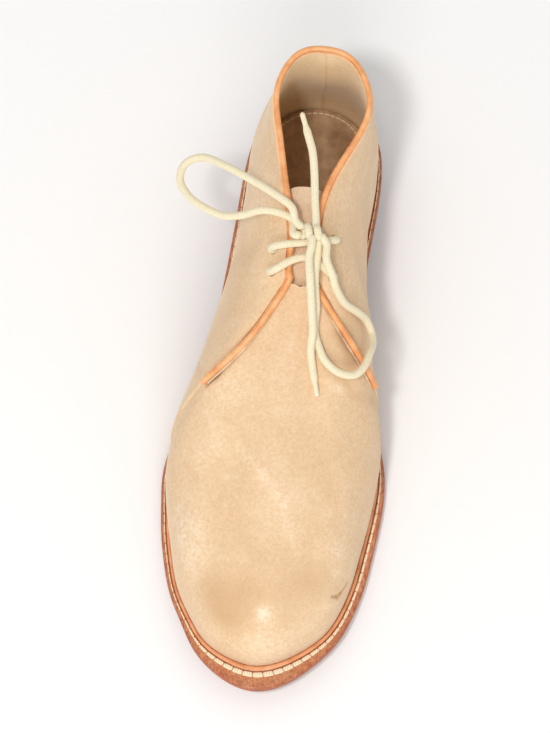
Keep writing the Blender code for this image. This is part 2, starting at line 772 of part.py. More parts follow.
LOOP_RIGHT = (
    # inward, back, up
    (0.0078, -0.0046, -0.0016),
    (0.0086, -0.0115, -0.0031),
    (0.0121, -0.0177, -0.0069),
    (0.0147, -0.0222, -0.0135),
    # round, up, gap, 0
    (0.2418, 0.827, 0.0014, 0),
    (0.2307, 0.702, 0.0009, 0),
    (0.2252, 0.600, 0.0009, 0),
    (0.2290, 0.545, 0.0016, 0),
    (0.2420, 0.580, 0.0029, 0),
    (0.2603, 0.640, 0.0034, 0),
    (0.2850, 0.680, 0.0034, 0),
    (0.3089, 0.707, 0.0034, 0),
    (0.3428, 0.775, 0.0031, 0),
    (0.3681, 0.840, 0.0019, 0),
    (0.3776, 0.882, 0.0005, 0),
    (0.3800, 0.915, 0.0001, 0),
    # inward, back, up
    (0.0062, -0.0306, -0.0193),
    (0.0049, -0.0241, -0.0137),
    (0.0040, -0.0175, -0.0081),
    (0.0042, -0.0086, -0.0046),
)
END_UP = (
    # inward, back, up
    (0.0016, 0.0052, 0.0006),
    (-0.0001, 0.0155, 0.0032),
    (-0.0016, 0.0262, 0.0072),
    (-0.0036, 0.0360, 0.0112),
    (-0.0060, 0.0420, 0.0137),
    (-0.0111, 0.0538, 0.0177),
)
END_DOWN = (
    # inward, back, up
    (0.0010, -0.0070, 0.0016),
    (0.0004, -0.0128, -0.0003),
    (0.0019, -0.0218, -0.0027),
    (0.0033, -0.0290, -0.0085),
    (0.0046, -0.0358, -0.0153),
    (0.0058, -0.0426, -0.0203),
    # round, up, gap, 0
    (0.4110, 0.896, 0.0029, 0),
    (0.4157, 0.873, -0.0005, 0),
    (0.4135, 0.842, -0.0006, 0),
    (0.4106, 0.805, -0.0006, 0),
)


def make_bow(material):
    frames = eyelet_frames()
    crest = bar_places(frames[0], frames[2])[BAR_STEPS // 2]
    middle = crest + (0, KNOT_BACK, KNOT_RISE)

    def route(rows):
        places = []
        for row in rows:
            if len(row) == 3:
                places.append(middle + row)
            else:
                height = FLAP_STEP + LACE_DIAMETER / 2 + row[2]
                places.append(skin_place(row[0], row[1], height))
        return places

    coil = []
    for share in np.linspace(0, 1, KNOT_POINTS):
        turn = 2 * math.pi * KNOT_TURNS * share + KNOT_START
        round_it = (0, KNOT_RADIUS * math.cos(turn), KNOT_RADIUS * math.sin(turn))
        coil.append(middle + (KNOT_LENGTH * (share - 0.5), 0, 0) + round_it)
    cord("lace_knot", coil, LACE_DIAMETER, material)
    cord("lace_loop_left", route(LOOP_LEFT), LACE_DIAMETER, material)
    cord("lace_loop_right", route(LOOP_RIGHT), LACE_DIAMETER, material)
    cord("lace_end_up", route(END_UP), LACE_DIAMETER, material)
    cord("lace_end_down", route(END_DOWN), LACE_DIAMETER, material)


make_outsole()
make_welt()
make_insole()
make_heel()
upper = make_upper()
cut_eyelets(upper)
make_tongue()
make_piping()
lace = paint("lace_cotton", (0.90, 0.80, 0.58), 0.9)
make_bars(lace)
make_bow(lace)
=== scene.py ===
"""Suede chukka boot for the right foot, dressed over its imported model.

Metres, +Z up. The toe points to -Y, the inner side of the foot is +X.
"""

import math

import bpy
import numpy as np
from mathutils import Matrix, Vector


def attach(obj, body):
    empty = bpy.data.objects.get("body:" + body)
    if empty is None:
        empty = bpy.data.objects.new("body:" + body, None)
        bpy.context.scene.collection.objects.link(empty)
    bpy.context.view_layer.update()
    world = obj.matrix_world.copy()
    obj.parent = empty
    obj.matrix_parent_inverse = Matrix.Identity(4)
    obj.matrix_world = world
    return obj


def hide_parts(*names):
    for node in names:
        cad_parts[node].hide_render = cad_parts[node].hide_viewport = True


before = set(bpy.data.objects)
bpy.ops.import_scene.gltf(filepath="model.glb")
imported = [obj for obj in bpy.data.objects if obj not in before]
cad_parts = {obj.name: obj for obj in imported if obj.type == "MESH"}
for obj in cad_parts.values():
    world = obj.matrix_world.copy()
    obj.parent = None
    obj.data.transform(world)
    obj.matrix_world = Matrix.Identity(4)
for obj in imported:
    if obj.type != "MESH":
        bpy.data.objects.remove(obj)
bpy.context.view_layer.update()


# Set: a pale floor, a soft lamp beside the camera, a low one in front, and a white room.
# The camera stands steeply over the toe at the photograph's angle, with a long lens,
# and rolls a little, as the photograph does.
FLOOR_HALF = 3.0
CAMERA_PLACE = Vector((0.0598, -0.6866, 2.1337))
CAMERA_AIM = Vector((-0.0050, 0.0010, 0.0550))
CAMERA_TOP = Vector((-0.1135, 0.9409, 0.3191))
FOCAL_PIXELS, PICTURE_WIDTH = 4480.0, 550
LAMPS = (
    # name, place, size, energy
    ("soft_lamp", Vector((-0.30, -0.69, 2.20)), 0.22, 18.5),
    ("front_lamp", Vector((0.10, -1.70, 1.25)), 0.90, 13),
)

floor_mesh = bpy.data.meshes.new("floor")
floor_mesh.from_pydata(
    [(-FLOOR_HALF, -FLOOR_HALF, 0), (FLOOR_HALF, -FLOOR_HALF, 0),
     (FLOOR_HALF, FLOOR_HALF, 0), (-FLOOR_HALF, FLOOR_HALF, 0)], [], [(0, 1, 2, 3)])
floor = bpy.data.objects.new("floor", floor_mesh)
bpy.context.scene.collection.objects.link(floor)
floor_paint = bpy.data.materials.new("floor_paint")
floor_paint.use_nodes = True
floor_shader = floor_paint.node_tree.nodes["Principled BSDF"]
floor_shader.inputs["Base Color"].default_value = (0.93, 0.93, 0.925, 1)
floor_shader.inputs["Roughness"].default_value = 0.8
floor_mesh.materials.append(floor_paint)

room = bpy.data.worlds.new("white_room")
bpy.context.scene.world = room
room.use_nodes = True
room.node_tree.nodes["Background"].inputs["Color"].default_value = (1, 1, 1, 1)
room.node_tree.nodes["Background"].inputs["Strength"].default_value = 0.60

for lamp_name, lamp_place, lamp_size, lamp_energy in LAMPS:
    lamp_data = bpy.data.lights.new(lamp_name, "AREA")
    lamp_data.size = lamp_size
    lamp_data.energy = lamp_energy
    lamp_data.color = (1.0, 0.98, 0.965)
    lamp = bpy.data.objects.new(lamp_name, lamp_data)
    bpy.context.scene.collection.objects.link(lamp)
    lamp.location = lamp_place
    lamp.rotation_mode = "QUATERNION"
    lamp.rotation_quaternion = (CAMERA_AIM - lamp_place).to_track_quat("-Z", "Y")

camera_data = bpy.data.cameras.new("camera")
camera = bpy.data.objects.new("camera", camera_data)
bpy.context.scene.collection.objects.link(camera)
camera_back = (CAMERA_PLACE - CAMERA_AIM).normalized()
camera_right = CAMERA_TOP.cross(camera_back).normalized()
camera_up = camera_back.cross(camera_right)
camera.matrix_world = (Matrix.Translation(CAMERA_PLACE)
                       @ Matrix((camera_right, camera_up, camera_back)).transposed().to_4x4())
camera_data.sensor_fit = "HORIZONTAL"
camera_data.sensor_width = 36
camera_data.lens = FOCAL_PIXELS * camera_data.sensor_width / PICTURE_WIDTH
camera_data.clip_end = 20
bpy.context.scene.camera = camera
bpy.context.scene.view_settings.view_transform = "Standard"


# Outsole: one cut of hard leather, with the toe lifted and the waist arched up to
# the heel seat. Its edge is trimmed, rounded, stained terracotta and burnished.
# The tables and curves of the last are first needed here and serve the whole boot.
LENGTH, BALL_WIDTH = 0.305, 0.1105
COLLAR_HEIGHT, COLLAR_WIDTH = 0.121, 0.048
THROAT_HEIGHT, THROAT_WIDTH = 0.099, 0.016
TOE_SPRING, OUTSOLE_THICKNESS = 0.0115, 0.0045
WELT_THICKNESS, WELT_REACH = 0.0030, 0.0125
INSOLE_THICKNESS = 0.0035
HEEL_LENGTH = 0.074
LIFT_THICKNESS, LIFT_COUNT, TOP_PIECE_THICKNESS = 0.0055, 3, 0.0062
BELLY = 0.0045
VAMP_WALL, FLAP_STEP = 0.0020, 0.0012
GAP = 0.0003
HEEL_HEIGHT = TOP_PIECE_THICKNESS + LIFT_COUNT * (LIFT_THICKNESS + GAP) + GAP
SEAT = OUTSOLE_THICKNESS + GAP + WELT_THICKNESS + GAP
SOLE_ROWS = (
    # along, inner, outer
    (0.020, 0.175, 0.175),
    (0.060, 0.268, 0.268),
    (0.120, 0.306, 0.310),
    (0.200, 0.304, 0.324),
    (0.280, 0.290, 0.335),
    (0.360, 0.290, 0.353),
    (0.440, 0.321, 0.385),
    (0.500, 0.371, 0.421),
    (0.550, 0.425, 0.457),
    (0.600, 0.469, 0.496),
    (0.650, 0.483, 0.517),
    (0.700, 0.477, 0.507),
    (0.750, 0.462, 0.489),
    (0.800, 0.443, 0.459),
    (0.850, 0.409, 0.416),
    (0.900, 0.353, 0.346),
    (0.940, 0.272, 0.281),
    (0.970, 0.189, 0.199),
    (0.988, 0.118, 0.122),
)
FLAT_FROM, FLAT_TO = 0.60, 0.74
ARCH_SETTLE, SPRING_POWER = 0.01, 1.8
EDGE_ROUND, EDGE_SETBACK = 0.0014, 0.0005
LINES = np.arange(288) / 288          # columns round the sole


def closed_spline(knots, values):
    """Smooth curve through values at the knots, closed over a period of 1."""
    knots, values = np.asarray(knots, float), np.asarray(values, float)
    count = len(knots)
    step = np.diff(np.append(knots, knots[0] + 1))
    rise = (np.roll(values, -1, axis=0) - values) / step[:, None]
    system = np.zeros((count, count))
    for i in range(count):
        system[i, i - 1] += step[i - 1]
        system[i, i] += 2 * (step[i - 1] + step[i])
        system[i, (i + 1) % count] += step[i]
    bend = np.linalg.solve(system, 6 * (rise - np.roll(rise, 1, axis=0)))

    def at(t):
        t = (np.asarray(t, float) - knots[0]) % 1 + knots[0]
        i = np.searchsorted(knots, t, side="right") - 1
        j = (i + 1) % count
        width = step[i][..., None]
        a = (knots[i][..., None] + width - t[..., None]) / width
        b = 1 - a
        cubic = (a**3 - a) * bend[i] + (b**3 - b) * bend[j]
        return a * values[i] + b * values[j] + cubic * width**2 / 6

    return at


def sole_outline():
    inner = [(half * BALL_WIDTH, (0.5 - along) * LENGTH) for along, half, _ in SOLE_ROWS]
    outer = [(-half * BALL_WIDTH, (0.5 - along) * LENGTH) for along, _, half in SOLE_ROWS]
    loop = np.array([(0, LENGTH / 2)] + inner + [(0, -LENGTH / 2)] + outer[::-1])
    run = np.hypot(*(np.roll(loop, -1, axis=0) - loop).T)
    travel = np.concatenate([[0], np.cumsum(run)[:-1]])
    toe = len(inner) + 1
    first = travel[:toe + 1] / travel[toe] / 2
    rest = 0.5 + (travel[toe + 1:] - travel[toe]) / (run.sum() - travel[toe]) / 2
    return closed_spline(np.concatenate([first, rest]), loop)


outline_raw = sole_outline()
fine_places = outline_raw(np.arange(720) / 720)
MIDDLE = (fine_places.max(axis=0) + fine_places.min(axis=0)) / 2


def outline(s):
    return outline_raw(s) - MIDDLE


def outward(s):
    """Level direction square to the sole's edge, pointing away from the foot."""
    dx, dy = np.moveaxis(outline(np.asarray(s) + 0.002) - outline(np.asarray(s) - 0.002), -1, 0)
    return np.stack([-dy, dx], axis=-1) / np.hypot(dx, dy)[..., None]


def line_of(side, along):
    span = np.arange(361) / 720
    if side < 0:
        span = 1 - span
    shares = 0.5 - (outline(span)[:, 1] + MIDDLE[1]) / LENGTH
    return float(np.interp(along, shares, span))


def ease(t):
    t = np.clip(t, 0, 1)
    return t * t * (3 - 2 * t)


def floor_lift(y):
    along = 0.5 - (y + MIDDLE[1]) / LENGTH
    arch = ease((FLAT_FROM - along) / (FLAT_FROM - HEEL_LENGTH / LENGTH - ARCH_SETTLE))
    spring = np.maximum(0, (along - FLAT_TO) / (1 - FLAT_TO)) ** SPRING_POWER
    return HEEL_HEIGHT * arch + TOE_SPRING * spring


def sole_ring(inset, height):
    place = outline(LINES) - outward(LINES) * inset
    return np.column_stack([place, floor_lift(place[:, 1]) + height])


def sew(name, rings, closing, materials, faces_of=None):
    """Mesh from rings of places. closing is "caps" for a plate, "hoop" for a band."""
    count = len(rings[0])
    faces = []
    last = len(rings) if closing == "hoop" else len(rings) - 1
    for r in range(last):
        low, high = r * count, (r + 1) % len(rings) * count
        for i in range(count):
            j = (i + 1) % count
            faces.append((low + i, low + j, high + j, high + i))
    if closing == "caps":
        top = (len(rings) - 1) * count
        for i in range(1, count // 2 - 1):
            ends = (i, i + 1, count - i - 1, count - i)
            faces.append(tuple(reversed(ends)))
            faces.append(tuple(top + e for e in ends))
        for ends in ((0, 1, count - 1), (count // 2 - 1, count // 2, count // 2 + 1)):
            faces.append(tuple(reversed(ends)))
            faces.append(tuple(top + e for e in ends))
    mesh = bpy.data.meshes.new(name)
    mesh.from_pydata(np.concatenate(rings).tolist(), [], faces)
    mesh.shade_smooth()
    mesh.set_sharp_from_angle(angle=math.radians(48))
    for material in materials:
        mesh.materials.append(material)
    if faces_of is not None:
        for polygon in mesh.polygons:
            polygon.material_index = faces_of(polygon.index // count)
    piece = bpy.data.objects.new(name, mesh)
    bpy.context.scene.collection.objects.link(piece)
    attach(piece, "root")
    return piece


def node_of(material, kind, **values):
    node = material.node_tree.nodes.new(kind)
    for key, value in values.items():
        if key in node.inputs:
            node.inputs[key].default_value = value
        else:
            setattr(node, key, value)
    return node


def leather(name, deep, plain, pale, roughness, stretch=(1, 1, 1), grain=900, depth=0.25):
    """Smooth leather: mottled stain, fine pores, and rough and shiny patches."""
    material = bpy.data.materials.new(name)
    material.use_nodes = True
    links = material.node_tree.links
    shader = material.node_tree.nodes["Principled BSDF"]
    places = node_of(material, "ShaderNodeTexCoord")
    scaled = node_of(material, "ShaderNodeVectorMath", operation="MULTIPLY")
    scaled.inputs[1].default_value = stretch
    links.new(places.outputs["Object"], scaled.inputs[0])
    mottle = node_of(material, "ShaderNodeTexNoise", Scale=140, Detail=6, Roughness=0.62)
    pores = node_of(material, "ShaderNodeTexNoise", Scale=grain, Detail=3, Roughness=0.6)
    for texture in (mottle, pores):
        links.new(scaled.outputs[0], texture.inputs["Vector"])
    stain = node_of(material, "ShaderNodeValToRGB")
    stain.color_ramp.elements[0].position = 0.30
    stain.color_ramp.elements[0].color = (*deep, 1)
    stain.color_ramp.elements[1].position = 0.72
    stain.color_ramp.elements[1].color = (*pale, 1)
    middle = stain.color_ramp.elements.new(0.50)
    middle.color = (*plain, 1)
    links.new(mottle.outputs["Fac"], stain.inputs["Fac"])
    links.new(stain.outputs["Color"], shader.inputs["Base Color"])
    shine = node_of(material, "ShaderNodeMapRange")
    shine.inputs["To Min"].default_value = roughness - 0.10
    shine.inputs["To Max"].default_value = roughness + 0.12
    links.new(mottle.outputs["Fac"], shine.inputs["Value"])
    links.new(shine.outputs[0], shader.inputs["Roughness"])
    bump = node_of(material, "ShaderNodeBump", Strength=depth, Distance=0.0003)
    links.new(pores.outputs["Fac"], bump.inputs["Height"])
    links.new(bump.outputs["Normal"], shader.inputs["Normal"])
    return material


edge_leather = leather("burnished_edge", (0.20, 0.045, 0.018), (0.40, 0.105, 0.040),
                       (0.56, 0.19, 0.08), 0.42, stretch=(1, 1, 4))
outsole = sew("outsole_leather", [
    sole_ring(EDGE_SETBACK + EDGE_ROUND + 0.004, 0.0),
    sole_ring(EDGE_SETBACK + EDGE_ROUND, 0.0),
    sole_ring(EDGE_SETBACK + EDGE_ROUND * 0.55, EDGE_ROUND * 0.12),
    sole_ring(EDGE_SETBACK + EDGE_ROUND * 0.2, EDGE_ROUND * 0.42),
    sole_ring(EDGE_SETBACK, EDGE_ROUND),
    sole_ring(EDGE_SETBACK - 0.0002, OUTSOLE_THICKNESS * 0.62),
    sole_ring(EDGE_SETBACK, OUTSOLE_THICKNESS - 0.0004),
    sole_ring(EDGE_SETBACK + 0.0004, OUTSOLE_THICKNESS),
], "caps", [edge_leather])
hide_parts("outsole")


# Heel: lifts of sole leather, stacked, cemented and trimmed to the sole's outline,
# with a rubber top piece nailed on below. Their front is the breast, hollowed a little.
HEEL_SETBACK, HEEL_TAPER = 0.0010, 0.0012
BREAST_CURVE, BREAST_STEPS = 0.0030, 12
HEEL_COLUMNS = 96
LIFT_ROUND = 0.0005


def heel_ring(inset, z):
    front = HEEL_LENGTH / LENGTH
    inner, outer = line_of(1, front), line_of(-1, front)
    span = outer + (inner + 1 - outer) * np.arange(HEEL_COLUMNS + 1) / HEEL_COLUMNS
    ring = (outline(span) - outward(span) * inset).tolist()
    start, end = ring[-1], ring[0]
    breast_y = LENGTH / 2 - MIDDLE[1] - HEEL_LENGTH
    for i in range(1, BREAST_STEPS):
        share = i / BREAST_STEPS
        hollow = BREAST_CURVE * math.sin(math.pi * share)
        ring.append((start[0] + (end[0] - start[0]) * share, breast_y + inset + hollow))
    return np.array([(x, y, z) for x, y in ring])


def heel_layer(name, low_inset, high_inset, low, high, material):
    """One lift, its two edges softened by sanding."""
    def inset_at(z):
        return low_inset + (high_inset - low_inset) * (z - low) / (high - low)

    r = LIFT_ROUND
    heights = ((low, r), (low + r * 0.3, r * 0.3), (low + r, 0),
               (high - r, 0), (high - r * 0.3, r * 0.3), (high, r))
    rings = [heel_ring(inset_at(z) + softened, z) for z, softened in heights]
    count = len(rings[0])
    faces = []
    for k in range(len(rings) - 1):
        for i in range(count):
            j = (i + 1) % count
            faces.append((k * count + i, k * count + j, (k + 1) * count + j, (k + 1) * count + i))
    faces.append(tuple(range(count))[::-1])
    faces.append(tuple((len(rings) - 1) * count + i for i in range(count)))
    mesh = bpy.data.meshes.new(name)
    mesh.from_pydata(np.concatenate(rings).tolist(), [], faces)
    mesh.shade_smooth()
    mesh.set_sharp_from_angle(angle=math.radians(48))
    mesh.materials.append(material)
    layer = bpy.data.objects.new(name, mesh)
    bpy.context.scene.collection.objects.link(layer)
    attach(layer, "root")
    return layer


lift_leather = leather("stacked_lifts", (0.16, 0.040, 0.018), (0.33, 0.095, 0.040),
                       (0.47, 0.16, 0.07), 0.45, stretch=(1, 1, 7))
top_rubber = leather("top_piece_rubber", (0.030, 0.024, 0.020), (0.045, 0.036, 0.030),
                     (0.065, 0.052, 0.045), 0.72, grain=1500, depth=0.4)
low_inset = HEEL_SETBACK + HEEL_TAPER
top_piece = heel_layer("heel_rubber_layer", low_inset, low_inset, 0, TOP_PIECE_THICKNESS, top_rubber)
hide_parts("heel_top_piece")
layer_z = TOP_PIECE_THICKNESS + GAP
for number in range(LIFT_COUNT):
    lift = heel_layer(
        f"heel_leather_layer_{number + 1}",
        low_inset - HEEL_TAPER * number / LIFT_COUNT,
        low_inset - HEEL_TAPER * (number + 1) / LIFT_COUNT,
        layer_z, layer_z + LIFT_THICKNESS, lift_leather)
    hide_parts(f"heel_lift_{number + 1}")
    layer_z += LIFT_THICKNESS + GAP


# Welt: a strip of orange-tan leather laid round the foot of the upper and stitched
# through to the outsole. It has a rounded lip, burnished dark, and a groove that the stitches run
# beside.
# The groove and the join with the upper are painted dark as shade.
FLAP_FOOT_INNER, FLAP_FOOT_OUTER = 0.532, 0.612
FLAP_BOW_INNER = (0.004, 0.05, 0.05, 3.0, 1.0)      # most, spreads to toe and heel, powers
FLAP_BOW_OUTER = (-0.028, 0.07, 0.02, 5.0, 0.7)
UPPER_ROWS = (
    # side, foot, inset, swell, swell_up, top, throat, collar, high, reach, drop
    (1, 0.000, 0.32, 1.00, 0.42, 0.034, 0.00, 0.05, 1.00, -1.50, 0.36),
    (1, 0.060, 0.32, 0.80, 0.42, 0.053, 0.00, 0.70, 0.99, -0.20, 0.35),
    (1, 0.140, 0.33, 0.60, 0.42, 0.102, 0.10, 1.00, 0.94, 0.20, 0.34),
    (1, 0.240, 0.34, 0.60, 0.42, 0.170, 0.36, 0.80, 0.84, 0.42, 0.34),
    (1, 0.340, 0.34, 2.70, 0.40, 0.248, 0.80, 0.24, 0.70, 0.80, 0.30),
    (1, 0.430, 0.30, 3.40, 0.38, 0.325, 1.06, 0.00, 0.52, 0.90, 0.24),
    (1, 0.482, 0.31, 3.20, 0.37, 0.366, 1.14, 0.00, 0.29, 0.88, 0.18),
    (1, FLAP_FOOT_INNER, 0.32, 2.80, 0.37, 0.390, 1.16, 0.00, 0.09, 0.79, 0.14),
    (1, 0.570, 0.34, 2.30, 0.39, 0.397, 1.08, 0.00, 0.03, 0.75, 0.15),
    (1, 0.650, 0.44, 1.50, 0.42, 0.401, 0.92, 0.00, 0.01, 0.66, 0.21),
    (1, 0.800, 0.52, 0.80, 0.44, 0.405, 0.64, 0.00, 0.00, 0.65, 0.36),
    (1, 0.930, 0.66, 0.50, 0.46, 0.407, 0.41, 0.00, 0.00, 0.66, 0.55),
    (1, 1.000, 1.00, 0.50, 0.45, 0.408, 0.24, 0.00, 0.00, 0.67, 0.58),
    (-1, 0.930, 0.50, 0.50, 0.46, 0.407, -0.06, 0.00, 0.00, 0.66, 0.55),
    (-1, 0.820, 0.35, 0.75, 0.44, 0.405, 0.10, 0.00, 0.00, 0.65, 0.36),
    (-1, 0.725, 0.34, 1.40, 0.42, 0.403, 0.46, 0.00, 0.01, 0.66, 0.21),
    (-1, 0.675, 0.32, 1.90, 0.40, 0.401, 0.64, 0.00, 0.03, 0.68, 0.15),
    (-1, FLAP_FOOT_OUTER, 0.32, 2.00, 0.38, 0.397, 0.76, 0.00, 0.08, 0.68, 0.13),
    (-1, 0.530, 0.32, 2.20, 0.37, 0.374, 0.84, 0.00, 0.25, 0.68, 0.17),
    (-1, 0.440, 0.34, 1.90, 0.38, 0.332, 0.88, 0.00, 0.51, 0.66, 0.22),
    (-1, 0.340, 0.36, 0.80, 0.40, 0.255, 0.96, 0.19, 0.69, 0.52, 0.30),
    (-1, 0.240, 0.36, 0.30, 0.42, 0.172, 0.36, 0.63, 0.83, 0.40, 0.34),
    (-1, 0.140, 0.34, 0.50, 0.42, 0.104, 0.00, 0.86, 0.94, 0.20, 0.34),
    (-1, 0.060, 0.32, 0.80, 0.42, 0.053, 0.00, 0.60, 0.99, -0.20, 0.35),
)
GROOVE_CLEAR, GROOVE_SHARE = 0.0013, 0.150      # from the foot of the upper to the groove
STITCH_PITCH, STITCH_LONG, STITCH_CLEAR = 0.0052, 0.0049, 0.0003
STITCH_THIN, STITCH_BROAD, THREAD_HIGH = 0.0005, 0.0032, 0.0006


def upper_rows():
    knots, values = [], []
    for row in UPPER_ROWS:
        side, foot, inset, swell, swell_up, top = row[:6]
        throat, collar, high, reach, drop = row[6:]
        knots.append(line_of(side, foot) % 1)
        half = (throat * THROAT_WIDTH + collar * COLLAR_WIDTH) / 2
        top_z = THROAT_HEIGHT + high * (COLLAR_HEIGHT - THROAT_HEIGHT)
        values.append((inset * WELT_REACH, swell * BELLY, swell_up, side * half - MIDDLE[0],
                       (0.5 - top) * LENGTH - MIDDLE[1], top_z, reach, drop))
    return closed_spline(knots, values)


row_at = upper_rows()


def flat_stitches(name, line, ups, outs, pitch, long, wides, high, material):
    """Short flattened threads laid end to end along a line; wides has one width a place."""
    steps = np.linalg.norm(np.diff(line, axis=0), axis=1)
    travel = np.concatenate([[0], np.cumsum(steps)])
    vertices, faces = [], []
    shares = (-1, -0.86, -0.5, 0, 0.5, 0.86, 1)
    for number in range(int(travel[-1] / pitch)):
        middle = (number + 0.5) * pitch
        for share in shares:
            at = middle + share * long / 2
            centre = np.array([np.interp(at, travel, line[:, k]) for k in range(3)])
            up = np.array([np.interp(at, travel, ups[:, k]) for k in range(3)])
            out = np.array([np.interp(at, travel, outs[:, k]) for k in range(3)])
            wide = np.interp(at, travel, wides)
            girth = max(1 - abs(share) ** 8, 0) ** 0.5 * 0.45 + 0.55
            for i in range(10):
                turn = 2 * math.pi * i / 10
                vertices.append(centre + out * math.cos(turn) * wide / 2 * girth
                                + up * math.sin(turn) * high / 2 * girth)
        base = len(vertices) - 10 * len(shares)
        for k in range(len(shares) - 1):
            for i in range(10):
                j = (i + 1) % 10
                faces.append((base + k * 10 + i, base + k * 10 + j,
                              base + k * 10 + 10 + j, base + k * 10 + 10 + i))
        faces.append(tuple(base + i for i in range(10))[::-1])
        faces.append(tuple(base + 10 * (len(shares) - 1) + i for i in range(10)))
    mesh = bpy.data.meshes.new(name)
    mesh.from_pydata([tuple(v) for v in vertices], [], faces)
    mesh.shade_smooth()
    mesh.materials.append(material)
    piece = bpy.data.objects.new(name, mesh)
    bpy.context.scene.collection.objects.link(piece)
    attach(piece, "root")
    return piece


def thread(name, colour, dark):
    """Waxed thread: twisted strands as fine slanting waves."""
    material = bpy.data.materials.new(name)
    material.use_nodes = True
    links = material.node_tree.links
    shader = material.node_tree.nodes["Principled BSDF"]
    places = node_of(material, "ShaderNodeTexCoord")
    strands = node_of(material, "ShaderNodeTexWave", Scale=260, Distortion=3.0, Detail=2)
    links.new(places.outputs["Object"], strands.inputs["Vector"])
    tint = node_of(material, "ShaderNodeMix", data_type="RGBA")
    tint.inputs[6].default_value = (*dark, 1)
    tint.inputs[7].default_value = (*colour, 1)
    links.new(strands.outputs["Fac"], tint.inputs[0])
    links.new(tint.outputs[2], shader.inputs["Base Color"])
    bump = node_of(material, "ShaderNodeBump", Strength=0.5, Distance=0.0002)
    links.new(strands.outputs["Fac"], bump.inputs["Height"])
    links.new(bump.outputs["Normal"], shader.inputs["Normal"])
    shader.inputs["Roughness"].default_value = 0.6
    return material


welt_leather = leather("welt_strip", (0.66, 0.25, 0.10), (0.84, 0.39, 0.18),
                       (0.93, 0.53, 0.29), 0.40, grain=1100)
# The dark mix is burnished stain on the lip and painted shade in the groove and beside the upper.
burnish_and_painted_shade = node_of(welt_leather, "ShaderNodeAttribute", attribute_name="burnish_and_painted_shade")
burnish_and_shade_mix = node_of(welt_leather, "ShaderNodeMix", data_type="RGBA")
burnish_and_shade_mix.inputs[7].default_value = (0.34, 0.080, 0.030, 1)
welt_links = welt_leather.node_tree.links
welt_shader = welt_leather.node_tree.nodes["Principled BSDF"]
welt_stain = welt_shader.inputs["Base Color"].links[0].from_socket
wear = node_of(welt_leather, "ShaderNodeTexNoise", Scale=90, Detail=5, Roughness=0.6)
patchy = node_of(welt_leather, "ShaderNodeMapRange")
patchy.inputs["From Min"].default_value = 0.36
patchy.inputs["From Max"].default_value = 0.62
patchy.inputs["To Min"].default_value = 0.60
patchy.inputs["To Max"].default_value = 1.25
welt_links.new(wear.outputs["Fac"], patchy.inputs["Value"])
burnish_and_shade_amount = node_of(welt_leather, "ShaderNodeMath", operation="MULTIPLY", use_clamp=True)
welt_links.new(burnish_and_painted_shade.outputs["Fac"], burnish_and_shade_amount.inputs[0])
welt_links.new(patchy.outputs[0], burnish_and_shade_amount.inputs[1])
welt_links.new(burnish_and_shade_amount.outputs[0], burnish_and_shade_mix.inputs[0])
welt_links.new(welt_stain, burnish_and_shade_mix.inputs[6])
welt_links.new(burnish_and_shade_mix.outputs[2], welt_shader.inputs["Base Color"])
top = WELT_THICKNESS
welt_shows = row_at(LINES)[:, 0]
groove_in = welt_shows - (GROOVE_CLEAR + GROOVE_SHARE * welt_shows)      # from the lip


def welt_at(inset, height):
    place = outline(LINES) - outward(LINES) * np.broadcast_to(inset, LINES.shape)[:, None]
    return np.column_stack([place, floor_lift(place[:, 1]) + OUTSOLE_THICKNESS + GAP + height])


WELT_RINGS = (
    # place from the lip, height, how dark: burnished on the lip, painted shade in the groove and at
    # the upper
    (welt_shows + VAMP_WALL, 0, 1.0),
    (EDGE_SETBACK + 0.0002, 0, 1.0),
    (0.0002, top * 0.18, 1.0),
    (0, top * 0.40, 1.0),
    (0.00002, top * 0.58, 0.95),
    (top * 0.07, top * 0.76, 0.90),
    (top * 0.18, top * 0.88, 0.85),
    (top * 0.36, top * 0.96, 0.75),
    (top * 0.60, top, 0.70),
    (groove_in * 0.62, top, 0.60),
    (groove_in - 0.0007, top, 0.55),
    (groove_in - 0.0003, top - 0.0002, 0.90),
    (groove_in, top - 0.0005, 1.0),
    (groove_in + 0.0003, top - 0.0002, 0.90),
    (groove_in + 0.0006, top, 0.10),
    (groove_in * 0.5 + welt_shows * 0.5, top + 0.0001, 0.0),
    (welt_shows - 0.0007, top, 0.05),
    (welt_shows - 0.0001, top - 0.0001, 0.85),
    (welt_shows + VAMP_WALL, top - 0.0001, 1.0),
)
welt = sew("welt_leather_strip", [welt_at(inset, height) for inset, height, _ in WELT_RINGS],
           "hoop", [welt_leather])
burnish_and_shade_values = welt.data.attributes.new("burnish_and_painted_shade", "FLOAT", "POINT")
burnish_and_shade_values.data.foreach_set("value", np.repeat([row[2] for row in WELT_RINGS], len(LINES)))
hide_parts("welt")

welt_thread = thread("cream_thread", (0.95, 0.83, 0.62), (0.78, 0.60, 0.38))
seam = np.arange(1441) / 1440
seam_shows = row_at(seam)[:, 0]
stitch_wide = np.clip(seam_shows * 0.32 - 0.0008, STITCH_THIN, STITCH_BROAD)
groove_place = seam_shows - (GROOVE_CLEAR + GROOVE_SHARE * seam_shows)
seam_in = groove_place - STITCH_CLEAR - stitch_wide / 2
seam_place = outline(seam) - outward(seam) * seam_in[:, None]
seam_z = floor_lift(seam_place[:, 1]) + OUTSOLE_THICKNESS + GAP + top + 0.00005
seam_line = np.column_stack([seam_place, seam_z])
seam_out = np.column_stack([outward(seam), np.zeros(len(seam))])
seam_up = np.tile((0.0, 0.0, 1.0), (len(seam), 1))
welt_stitches = flat_stitches("welt_stitches", seam_line, seam_up, seam_out, STITCH_PITCH,
                              STITCH_LONG, stitch_wide, THREAD_HIGH, welt_thread)


